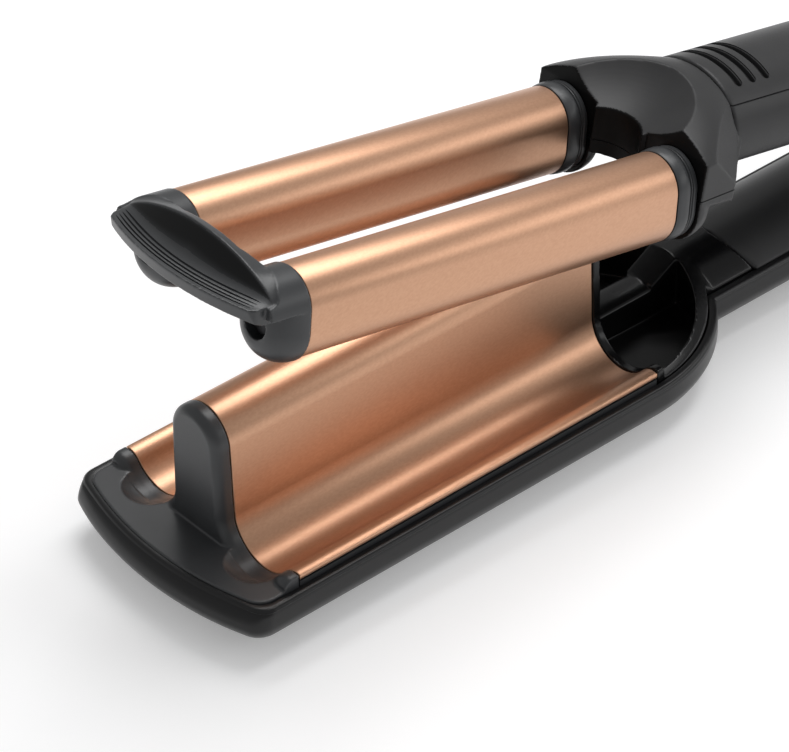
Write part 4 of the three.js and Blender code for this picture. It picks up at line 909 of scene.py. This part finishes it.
def bridge_edge(y):
    """Back edge of the face that slopes from the crest to the crowns of the caps."""
    out = abs(y)
    if out > BRIDGE_CAP_Y:
        share = ((out - BRIDGE_CAP_Y) / (REST_HALF - BRIDGE_CAP_Y)) ** BRIDGE_POWER
        return BRIDGE_CAP_X + (BRIDGE_END_X - BRIDGE_CAP_X) * share, cap_crown_z(y) - STEP
    share = max(0, (out - BRIDGE_FLAT_HALF) / (BRIDGE_CAP_Y - BRIDGE_FLAT_HALF))
    fall = (out / BRIDGE_CAP_Y) ** BRIDGE_FALL
    middle_x, middle_z = BRIDGE_MIDDLE
    low = cap_crown_z(BRIDGE_CAP_Y) - STEP
    return middle_x + (BRIDGE_CAP_X - middle_x) * share, middle_z + (low - middle_z) * fall


def rest_line(y, count=HOLLOW_STEPS):
    """The top of the rest as (x, z): from the lip through the hollow, over the crest, to the back edge."""
    held = min(abs(y), REST_HALF)
    crest = CREST_END_HEIGHT + (CREST_HEIGHT - CREST_END_HEIGHT) * (1 - (held / REST_HALF) ** 2) ** CREST_POWER
    front = rest_front(held)
    back_x, back_z = bridge_edge(held)
    hollow = [(front + (CREST_X - front) * up, crest * up ** HOLLOW) for up in np.linspace(0, 1, count)]
    bend = [(CREST_X + (back_x - CREST_X) * share, crest + (back_z - crest) * share ** BEND_POWER)
            for share in BEND_SHARES]
    return np.array([*hollow, *bend, (back_x, back_z)])


def rest_ring(y):
    foot = (bridge_edge(y)[0] - WEB_LEAN, WEB_FOOT_Z) if abs(y) <= CAP_START_Y else (WEB_ROOT_X, LIP_ROOT_Z)
    front = rest_front(y)
    under = [foot, (foot[0] - WEB_THICKNESS, foot[1]), (CREST_X - LIP_ROOT_AHEAD, LIP_ROOT_Z),
             (front + 0.35 * LIP_DEPTH, -LIP_DEPTH), (front + 0.12, -0.6)]
    return np.insert(np.vstack([under, rest_line(y)]), 1, y, axis=1)


def over_ring(y):
    line = rest_line(y) - (0, STEP)
    return np.insert(np.vstack([[(line[0, 0], 30), (line[-1, 0], 30)], line[::-1]]), 1, y, axis=1)


corner_x = rest_front(REST_HALF)
plan_half = [(rest_front(y), y) for y in np.linspace(0, REST_HALF - 0.45 * REST_CORNER, 16)]
plan_half += [(corner_x + REST_CORNER * along, REST_HALF - REST_CORNER * across)
              for along, across in CORNER_STEPS]
plan_half += [(WEB_ROOT_X, REST_HALF)]
rest_plan = np.vstack([np.array(plan_half[:0:-1]) * (1, -1), plan_half])
ys = np.linspace(-REST_HALF, REST_HALF, 72)
rest = skin("thumb_rest", [rest_ring(y) for y in ys], in_upper)
keep_inside(rest, prism("rest plan", rest_plan, WEB_FOOT_Z - 1, 20, in_upper, axis=2))
over = skin("over the rest", [over_ring(y) for y in (-32, *ys, 32)], in_upper)
print("crest height in mm:", CREST_HEIGHT)

# %% [markdown]
# Each cap has a domed belly, a crown that runs straight on and a screw hole in its front. It could be half a
# ball, but then it would not line up with the barrel, so it is the barrel's own section, shrunk step by step.
# Four fine grooves along the lip give the thumb a hold. They are thin tubes that are cut after the casting,
# so that they stay crisp. Shade is painted into the hollow behind them: it gets darker towards the crest, and
# a value on each point tells the finish where. Its deepest faces also get a less glossy finish, which paints
# more of that shade.

# %% Cool tip
CAP_STRAIGHT = 0.4
CAP_DOME = 8.0
CAP_SHRINK = 6.5
CROWN_FRONT_X = -12.0
TIP_SCREW_Z = -8.2
TIP_HOLE = 3.5
TIP_HOLE_END_X = -4.4
TIP_SCREW_BORE = 1.6
GROOVES = (1.35, 2.25, 3.15, 4.05)
GROOVE_HALF = 23.8
GROOVE = (0.24, 0.50)
HOLLOW_START = 4.7
HOLLOW_SPAN = (3.6, 0.8)
HOLLOW_EDGE = 0.5
HOLLOW_LOW_Z = -0.4


def tip_cap(name, side):
    steps = [(0, TIP_PROUD), (-CAP_STRAIGHT, TIP_PROUD)]
    for angle in np.linspace(0, math.radians(84), 18)[1:]:
        shrink = CAP_SHRINK * (1 - math.cos(angle))
        steps.append((-CAP_STRAIGHT - CAP_DOME * math.sin(angle), TIP_PROUD - shrink))
    cap = skin(name, barrel_rings(-GAP, steps, side), in_upper)
    return join(cap, prism("crown", crown_arc(TIP_PROUD, side * TRACK_Y, 40), CROWN_FRONT_X, -GAP, in_upper))


def groove(behind):
    """A thin flat tube that follows the lip just under the surface of the rest."""
    rings = []
    for y in np.linspace(-GROOVE_HALF, GROOVE_HALF, 60):
        x = rest_front(y) + behind
        line = rest_line(y, 40)
        z = np.interp(x, line[:40, 0], line[:40, 1])
        fade = math.sqrt(max(0.03, 1 - (y / GROOVE_HALF) ** 8))
        wide, deep = GROOVE[0] * fade, GROOVE[1] * fade
        rings.append([(x + wide * math.cos(angle), y, z + deep * math.sin(angle)) for angle in around(12)])
    return skin("groove", rings, in_upper)


def painted_hollow_shade(points):
    """Painted shade: from 0 on the grooved band to 1 in the deep of the hollow, and back to 0 at the crest."""
    x, y, z = points.T
    behind = REST_RADIUS - np.hypot(x - REST_APEX_X - REST_RADIUS, y)
    span = np.interp(np.abs(y), (0, REST_HALF), HOLLOW_SPAN)
    deep = np.clip((behind - HOLLOW_START) / span, 0, 1)
    crest = np.clip((CREST_X - x) / HOLLOW_EDGE, 0, 1)
    return np.where((z > HOLLOW_LOW_Z) & (x < CREST_X), deep * deep * (3 - 2 * deep) * crest, 0.0)


def front_bores(name, radius, end_x, sides):
    return [rod_x(name, radius, (side * TRACK_Y, TIP_SCREW_Z), -40, end_x, in_upper, sides) for side in (-1, 1)]


tip = join(tip_cap("cool_tip_moulding", -1), tip_cap("far cap", 1))
cut(tip, over)
join(tip, rest)
cut(tip,
    *front_bores("screw hole", TIP_HOLE, TIP_HOLE_END_X, 64),
    *front_bores("screw bore", TIP_SCREW_BORE, 2, 32))
cast(tip, 0.25, 2)
cut(tip, *[groove(behind) for behind in GROOVES])
dress(tip, "upper_half", tip_plastic, "cool_tip", 40)
# The shade layer paints shade in the hollow, and its deepest faces get the less glossy twin finish.
shade = tip.data.attributes.new("shade", "FLOAT", "POINT")
shade.data.foreach_set("value", painted_hollow_shade(off_upper(read_all(tip.data.vertices, "co"))))
shade_upper(tip, painted_shade_tip_plastic, lambda middles, lean: painted_hollow_shade(middles) > 0.5)

# %% [markdown]
# The yoke is the block that gathers the two barrels into the arm. Flat cuts on its flanks meet a smooth dish
# on top, and a round recess opens between the barrels. A subdivided cage could follow these forms, but it
# would wash out the edges where they meet, so it is a skin that is cut by planes and a ball. It is cast whole
# and then split at its parting line, so that the seam stays straight.

# %% Yoke
YOKE_FRONT_X = 121.5
ARM_START_X = 144.3
ARM_TOP = 13.1
ARM_MIDDLE = -0.4
ARM_FLOOR = -9.2
ARM_UP_HALF = 17.0
ARM_CORNER_Y = 12
YOKE_HALF = 35.5
YOKE_TOP = 11.0
YOKE_MIDDLE = -5.5
YOKE_PART_Z = -5.6
YOKE_FLOOR_Z = -9.3
YOKE_SIDE_Y = 29.2
YOKE_END_X = 146.5
FLANK_NORMAL = (0.488, 0.726, 0.483)
FLANK_Z = 3.8
DISH_TILT = 12.9
DISH_RADIUS = 38.0
DISH_DEPTH = 6.0
DISH_REACH = (22.0, 19.6)
DISH_AT = (114.4, 6.6)
SOCKET_STEPS = ((0, 1.1), (1.5, 1.1), (3.5, 0.6), (5.5, -0.8), (7, -2.4))
RECESS_X = 113.6
RECESS_RADIUS = 10.3
SPIGOT_END_X = 127.5
YOKE_SCREWS = ((131.5, -17), (131.5, 17))
SEAM_HALF = 0.15


def yoke_section(x):
    share = max(0, (x - YOKE_FRONT_X) / (ARM_START_X - YOKE_FRONT_X))
    near = min(1, share)
    half = YOKE_HALF + (ARM_UP_HALF + 0.5 - YOKE_HALF) * near ** 1.5
    top = YOKE_TOP + (ARM_TOP - 0.5 - YOKE_TOP) * share + 1.2 * math.sin(math.pi * near)
    middle = YOKE_MIDDLE + (ARM_MIDDLE - YOKE_MIDDLE) * near
    foot_z = YOKE_FLOOR_Z - 1
    return np.vstack([arc((0, middle), half, top - middle, 0, 180, 72), [(-half, foot_z), (half, foot_z)]])


def arm_section(inset):
    corner = ARM_UP_HALF - ARM_CORNER_Y - inset
    half = np.vstack([
        arc((0, ARM_MIDDLE), ARM_UP_HALF - inset, ARM_TOP - ARM_MIDDLE - inset, 90, 0, 36),
        arc((ARM_CORNER_Y, ARM_MIDDLE), corner, ARM_MIDDLE - ARM_FLOOR - inset, 0, -90, 14)[1:],
    ])
    half[0, 0] = 0
    return np.vstack([half, half[:0:-1] * (-1, 1)])


def beyond(name, point, normal):
    """A large block on the far side of a plane of the upper frame."""
    normal = Vector(normal).normalized()
    side = normal.orthogonal().normalized() * 200
    other = normal.cross(side)
    corners = [side + other, other - side, -side - other, side - other]
    rings = [[np.array(Vector(point) + corner + normal * far) for corner in corners] for far in (0, 400)]
    return skin(name, rings, in_upper)


def high_side(level):
    return beyond("high side", (0, 0, level - SEAM_HALF), (0, 0, 1))


def low_side(level):
    return beyond("low side", (0, 0, level + SEAM_HALF), (0, 0, -1))


plan_side = np.array([(120, 8), (YOKE_FRONT_X, 8.8), (YOKE_FRONT_X, YOKE_SIDE_Y), (135.2, 28.1), (143, 21.8),
                      (YOKE_END_X, 17.3)])
yoke_plan = np.vstack([plan_side, plan_side[::-1] * (1, -1)])
under = np.array([(YOKE_SIDE_Y + 1, 40), (YOKE_SIDE_Y + 1, YOKE_PART_Z - 0.4),
                  (YOKE_SIDE_Y - 2.7, YOKE_FLOOR_Z - 0.6), (YOKE_SIDE_Y - 3.5, YOKE_FLOOR_Z)])
under_cut = np.vstack([under, under[::-1] * (-1, 1)])
yoke = skin("yoke", [at_x(x, yoke_section(x)) for x in np.linspace(118, YOKE_END_X, 30)], in_upper)
keep_inside(yoke,
            prism("plan", yoke_plan, YOKE_FLOOR_Z - 1, 40, in_upper, axis=2),
            prism("under cut", under_cut, 117, 148, in_upper))
for side in (-1, 1):
    flank = (YOKE_FRONT_X + 4.5, side * (YOKE_SIDE_Y - 0.7), FLANK_Z)
    cut(yoke, beyond("flank", flank, np.multiply(FLANK_NORMAL, (1, side, 1))))
tilt = math.radians(DISH_TILT)
dish_rise = DISH_RADIUS - DISH_DEPTH
rim_share = math.sqrt(1 - (dish_rise / DISH_RADIUS) ** 2)
dish_centre = (DISH_AT[0] - dish_rise * math.sin(tilt), 0, DISH_AT[1] + dish_rise * math.cos(tilt))
dish = (DISH_REACH[0] / rim_share, DISH_REACH[1] / rim_share, DISH_RADIUS)
cut(yoke, ball("dish", dish, dish_centre, in_upper, DISH_TILT, sides=160))
for side in (-1, 1):
    socket = skin("socket", barrel_rings(YOKE_FRONT_X, SOCKET_STEPS, side), in_upper)
    keep_inside(socket, box("low", (110, -YOKE_SIDE_Y, -40), (150, YOKE_SIDE_Y, YOKE_PART_Z), in_upper))
    join(yoke, socket)
front_lean = beyond("lean", (YOKE_FRONT_X, 0, CROWN_TOP), (-1, 0, 0.2))
keep_inside(front_lean, box("upper front", (0, -50, CROWN_TOP), (YOKE_END_X, 50, 40), in_upper))
cut(yoke, front_lean, rod_z("recess", RECESS_RADIUS, (RECESS_X, 0), -40, 40, in_upper, 128),
    *[prism("spigot room", barrel_section(-BARREL_WALL, side), YOKE_FRONT_X - 10, SPIGOT_END_X, in_upper)
      for side in (-1, 1)],
    prism("arm room", arm_section(-GAP), ARM_START_X - GAP, 150, in_upper))
cut(yoke, *screw_bores(YOKE_SCREWS, -20, YOKE_FLOOR_Z, in_upper))
cast(yoke, 0.34, 2)
yoke_low = twin(yoke, "yoke_lower_shell")
yoke.name = "yoke_upper_shell"
cut(yoke, low_side(YOKE_PART_Z))
cut(yoke_low, high_side(YOKE_PART_Z))


def in_recess(middles, lean):
    """Faces of the recess and of the front, which the barrels keep in the shade; a darker finish paints it."""
    x, y, z = middles.T
    recess = (np.hypot(x - RECESS_X, y) < RECESS_RADIUS + 0.35) & (x > RECESS_X)
    return recess | (lean < -0.75) & (x < YOKE_FRONT_X + 2.5)


# Painted shade: the recess and the front faces get a near-black, matt finish.
for half, node in ((yoke, "yoke_top"), (yoke_low, "yoke_bottom")):
    dress(half, "upper_half", black_plastic, node, 50)
    shade_upper(half, painted_shade_plastic, in_recess)

# %% [markdown]
# The upper arm is one long form, split along its sides into a cover and a shell. Three short grooves across
# the cover give a grip, and the far end turns down to the knuckle of the hinge. The two could be drawn one by
# one, but as cuts of one form they meet exactly at the seam. The room inside is cut after the casting,
# because the casting would fill a closed room.

# %% Upper arm
ARM_END_X = 281.0
ARM_END_ROUND = 14.0
ARM_END_TURN = math.radians(76.5)
ARM_PART_Z = 7.6
ARM_SCREWS = ((168, 0), (262, 0))
GRIPS = (150.3, 155.1, 159.9)
GRIP_HALF = 10.4
GRIP_STEPS = ((0.9, 1.5), (1.3, 0.3))
KEYS = (("power_key", "power_button", 234.0, 5.5), ("heat_up_key", "heat_up_button", 216.0, 4.0),
        ("heat_down_key", "heat_down_button", 203.0, 4.0))
LIGHT_X = 191.0
LIGHT_PITCH = 6.5
LIGHT_RADIUS = 1.5
FLANGE_ROOM_UP = (1.2, 8.9)
ROOM = ((ARM_START_X + 4, -11, -6), (ARM_END_X - 16, 11, 9))
SPRING_ROOM = (5.4, 3.6)
RAIL_Y = 10
RAIL_HALF = 1.5
RAIL = ((166.5, 0.6), (168.5, -1.12), (171.5, -1.4), (258, -1.4), (262, 0.6))


def slot_plan(x, half):
    """A slot across the arm with round ends."""
    end = arc((0, GRIP_HALF - half), half, half, 0, 180, 12)
    return np.vstack([end, -end]) + (x, 0)


arm_rings = [at_x(ARM_START_X + x, arm_section(inset)) for x, inset in ((0, 0.6), (0.2, 0.2), (0.6, 0))]
arm_rings += [at_x(x, arm_section(0)) for x in np.linspace(150, ARM_END_X - ARM_END_ROUND - 2, 12)]
for angle in np.linspace(0, ARM_END_TURN, 16):
    shrink = math.cos(angle)
    x = ARM_END_X - ARM_END_ROUND + ARM_END_ROUND * math.sin(angle) / math.sin(ARM_END_TURN)
    arm_rings.append(at_x(x, arm_section(0) * (0.55 + 0.45 * shrink, 0.4 + 0.6 * shrink)))
arm = skin("arm", arm_rings, in_upper)
shell = twin(arm, "upper_grip_shell")
arm.name = "upper_grip_cover"
holes = [(x, 0, radius) for name, node, x, radius in KEYS]
lights = [(LIGHT_X, LIGHT_PITCH * i, LIGHT_RADIUS) for i in (-1, 0, 1)]
cut(arm, *[rod_z("hole", radius + GAP, (x, y), 0, 20, in_upper, 64) for x, y, radius in holes + lights])
cast(arm, 0.44, 2)
for x in GRIPS:
    for half, depth in GRIP_STEPS:
        slot = prism("slot", slot_plan(x, half), ARM_PART_Z, ARM_TOP + 1, in_upper, axis=2)
        cut(slot, prism("slot floor", arm_section(depth), x - 2, x + 2, in_upper))
        cut(arm, slot)
more, room_top = FLANGE_ROOM_UP
cut(arm, low_side(ARM_PART_Z),
    *[rod_z("flange room", radius + more, (x, y), 0, room_top, in_upper, 64) for x, y, radius in holes])
dress(arm, "upper_half", black_plastic, "upper_handle_cover", 50)
knuckle_plan = [(ARM_END_X - 18, ARM_FLOOR + 0.5), (AXLE_X - DRUM - 1, ARM_FLOOR),
                (AXLE_X - DRUM + 0.2, AXLE_Z), (AXLE_X + DRUM - 1.5, AXLE_Z + 4.5),
                (ARM_END_X - 1, ARM_FLOOR + 6.5), (ARM_END_X - 14, ARM_FLOOR + 6.5)]
join(shell,
     rod_y("knuckle", DRUM, AXLE, -KNUCKLE_HALF, KNUCKLE_HALF, in_upper, 96),
     prism("knuckle neck", knuckle_plan, -KNUCKLE_HALF, KNUCKLE_HALF, in_upper, axis=1))
rail = [(x, ARM_FLOOR + rise) for x, rise in RAIL]
for y in (-RAIL_Y, RAIL_Y):
    join(shell, prism("rail", rail, y - RAIL_HALF, y + RAIL_HALF, in_upper, axis=1))
room_radius, room_half = SPRING_ROOM
cut(shell,
    rod_y("pin bore", PIN_BORE, AXLE, -9, 9, in_upper, 48),
    rod_y("spring room", room_radius, AXLE, -room_half, room_half, in_upper, 64),
    *screw_bores(ARM_SCREWS, -15, ARM_FLOOR, in_upper))
cast(shell, 0.52, 2)
cut(shell, high_side(ARM_PART_Z), box("room under the cover", *ROOM, in_upper))
dress(shell, "upper_half", black_plastic, "upper_handle_shell", 50)

# %% [markdown]
# Three round buttons and three small amber lenses stand in the holes of the cover. Copies of one mesh could
# do for each kind, but the buttons differ in size and each moves by itself. So they are turned one by one,
# with a foot under the cover that is wider than the hole, as real keys have.

# %% Buttons and lights
KEY_TOP = ARM_TOP + 0.9
KEY_FOOT = 7.6
FLANGE = 0.9
LENS_STEPS = ((1.5, -0.1), (1.35, 0.08), (0.9, 0.17), (0.2, 0.2))
LENS_FOOT = 5.3


def key_profile(radius, top):
    flange = radius + FLANGE
    return [(0.3, KEY_FOOT), (flange, KEY_FOOT), (flange, KEY_FOOT + 1.1), (radius, KEY_FOOT + 1.2),
            (radius, top - 0.5), (radius - 0.12, top - 0.2), (radius - 0.4, top), (radius - 0.9, top + 0.02),
            (radius * 0.6, top - 0.18), (radius * 0.3, top - 0.3), (0.3, top - 0.34)]


for name, node, x, radius in KEYS:
    key = turned(name, key_profile(radius, KEY_TOP), (x, 0, 0), (0, 0, 1), in_upper, 72)
    dress(key, node, button_plastic, node, 50)
for i, (x, y, radius) in enumerate(lights, 1):
    top = ARM_MIDDLE + (ARM_TOP - ARM_MIDDLE) * math.sqrt(1 - (y / ARM_UP_HALF) ** 2)
    lens_profile = [(0.2, LENS_FOOT), (radius, LENS_FOOT), *[(wide, top + rise) for wide, rise in LENS_STEPS]]
    lens = turned("light_lens_%d" % i, lens_profile, (x, y, 0), (0, 0, 1), in_upper, 40)
    dress(lens, "upper_half", amber, "indicator_lens_%d" % i, 50)
print("keys and lights are on the arm")

# %% [markdown]
# Heaters, cores, boards, screws, the pin and the spring sit inside. New meshes could be made for them too,
# but hardly anything of them shows. So they keep the model's own shapes, and each gets its real finish, but
# the tip screws get a dark steel that paints shade into their holes.

# %% Inner parts
def both(*stems):
    return [stem + end for stem in stems for end in ("_near", "_far")]


def numbered(*stems):
    return [stem + end for stem in stems for end in ("_1", "_2")]


INNER = {
    steel: ["hinge_pin", "return_spring", "thermal_fuse", *both("yoke_screw"),
            *numbered("plate_screw", "cover_screw", "handle_screw")],
    # Painted shade: dark steel on the tip screws darkens their holes.
    dark_steel: both("tip_screw"),
    heat_plastic: ["plate_tray"],
    aluminium: both("plate_spreader", "barrel_core"),
    ceramic: both("plate_heater", "barrel_heater"),
    board: ["power_board", "control_board"],
}
for material, names in INNER.items():
    for name in names:
        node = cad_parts[name]
        node.data.materials.clear()
        node.data.materials.append(material)
print("inner parts:", sum(len(names) for names in INNER.values()))

# %% [markdown]
# The floor is a plain pale sheet that takes the object's shadow. A brighter lamp could make it white, but it
# would bleach the object too. So the floor glows a little, and only where it is seen or mirrored.

# %% Floor
FLOOR_HALF = 6
FLOOR_DROP = 0.0002
FLOOR_COLOUR = (0.86, 0.86, 0.865, 1)
FLOOR_GLOW = 0.26
corners = [(x * FLOOR_HALF, y * FLOOR_HALF, 0) for x, y in ((-1, -1), (1, -1), (1, 1), (-1, 1))]
floor = new_piece("floor", corners, [(0, 1, 2, 3)])
floor.location.z = -FLOOR_DROP
paper = bpy.data.materials.new("pale floor")
paper.use_nodes = True
tree = paper.node_tree
tree.nodes.clear()


def reckon(how, *values):
    """A math step on sockets and numbers."""
    step = tree.nodes.new("ShaderNodeMath")
    step.operation = how
    for socket, value in zip(step.inputs, values):
        if isinstance(value, float):
            socket.default_value = value
        else:
            tree.links.new(value, socket)
    return step.outputs[0]


out = tree.nodes.new("ShaderNodeOutputMaterial")
matt = node_of(tree, "BsdfDiffuse", Color=FLOOR_COLOUR)
rays = tree.nodes.new("ShaderNodeLightPath").outputs
seen = reckon("MAXIMUM", rays["Is Camera Ray"], rays["Is Glossy Ray"])
seen = reckon("MAXIMUM", seen, rays["Is Transmission Ray"])
glow = node_of(tree, "Emission", Color=(1, 1, 1, 1), Strength=reckon("MULTIPLY", seen, FLOOR_GLOW))
add = tree.nodes.new("ShaderNodeAddShader")
tree.links.new(matt, add.inputs[0])
tree.links.new(glow, add.inputs[1])
tree.links.new(add.outputs[0], out.inputs["Surface"])
floor.data.materials.append(paper)
print("floor is at", round(floor.location.z, 4))

# %% [markdown]
# The light is soft, as in a studio. A sun would draw hard shadows, so a large lamp hangs over the object, and
# a long one beside it draws the streaks on the barrels. A pale world fills in the rest.

# %% Lamps and world
AIM = (-0.02, 0, 0.04)
LAMPS = (("top", (0.50, 0.30, 1.35), (1.1, 0.9), 15), ("right", (1.00, -0.75, 0.50), (1.4, 0.30), 3.0))
AMBIENT = 0.40
for name, place, size, power in LAMPS:
    data = bpy.data.lights.new(name, "AREA")
    data.shape = "RECTANGLE"
    data.size, data.size_y = size
    data.energy = power
    lamp = bpy.data.objects.new(name, data)
    lamp.location = place
    lamp.rotation_euler = (Vector(AIM) - Vector(place)).to_track_quat("-Z", "Y").to_euler()
    bpy.context.scene.collection.objects.link(lamp)
world = bpy.data.worlds.new("studio")
world.use_nodes = True
ambient = world.node_tree.nodes["Background"]
ambient.inputs["Color"].default_value = (1, 1, 1, 1)
ambient.inputs["Strength"].default_value = AMBIENT
bpy.context.scene.world = world
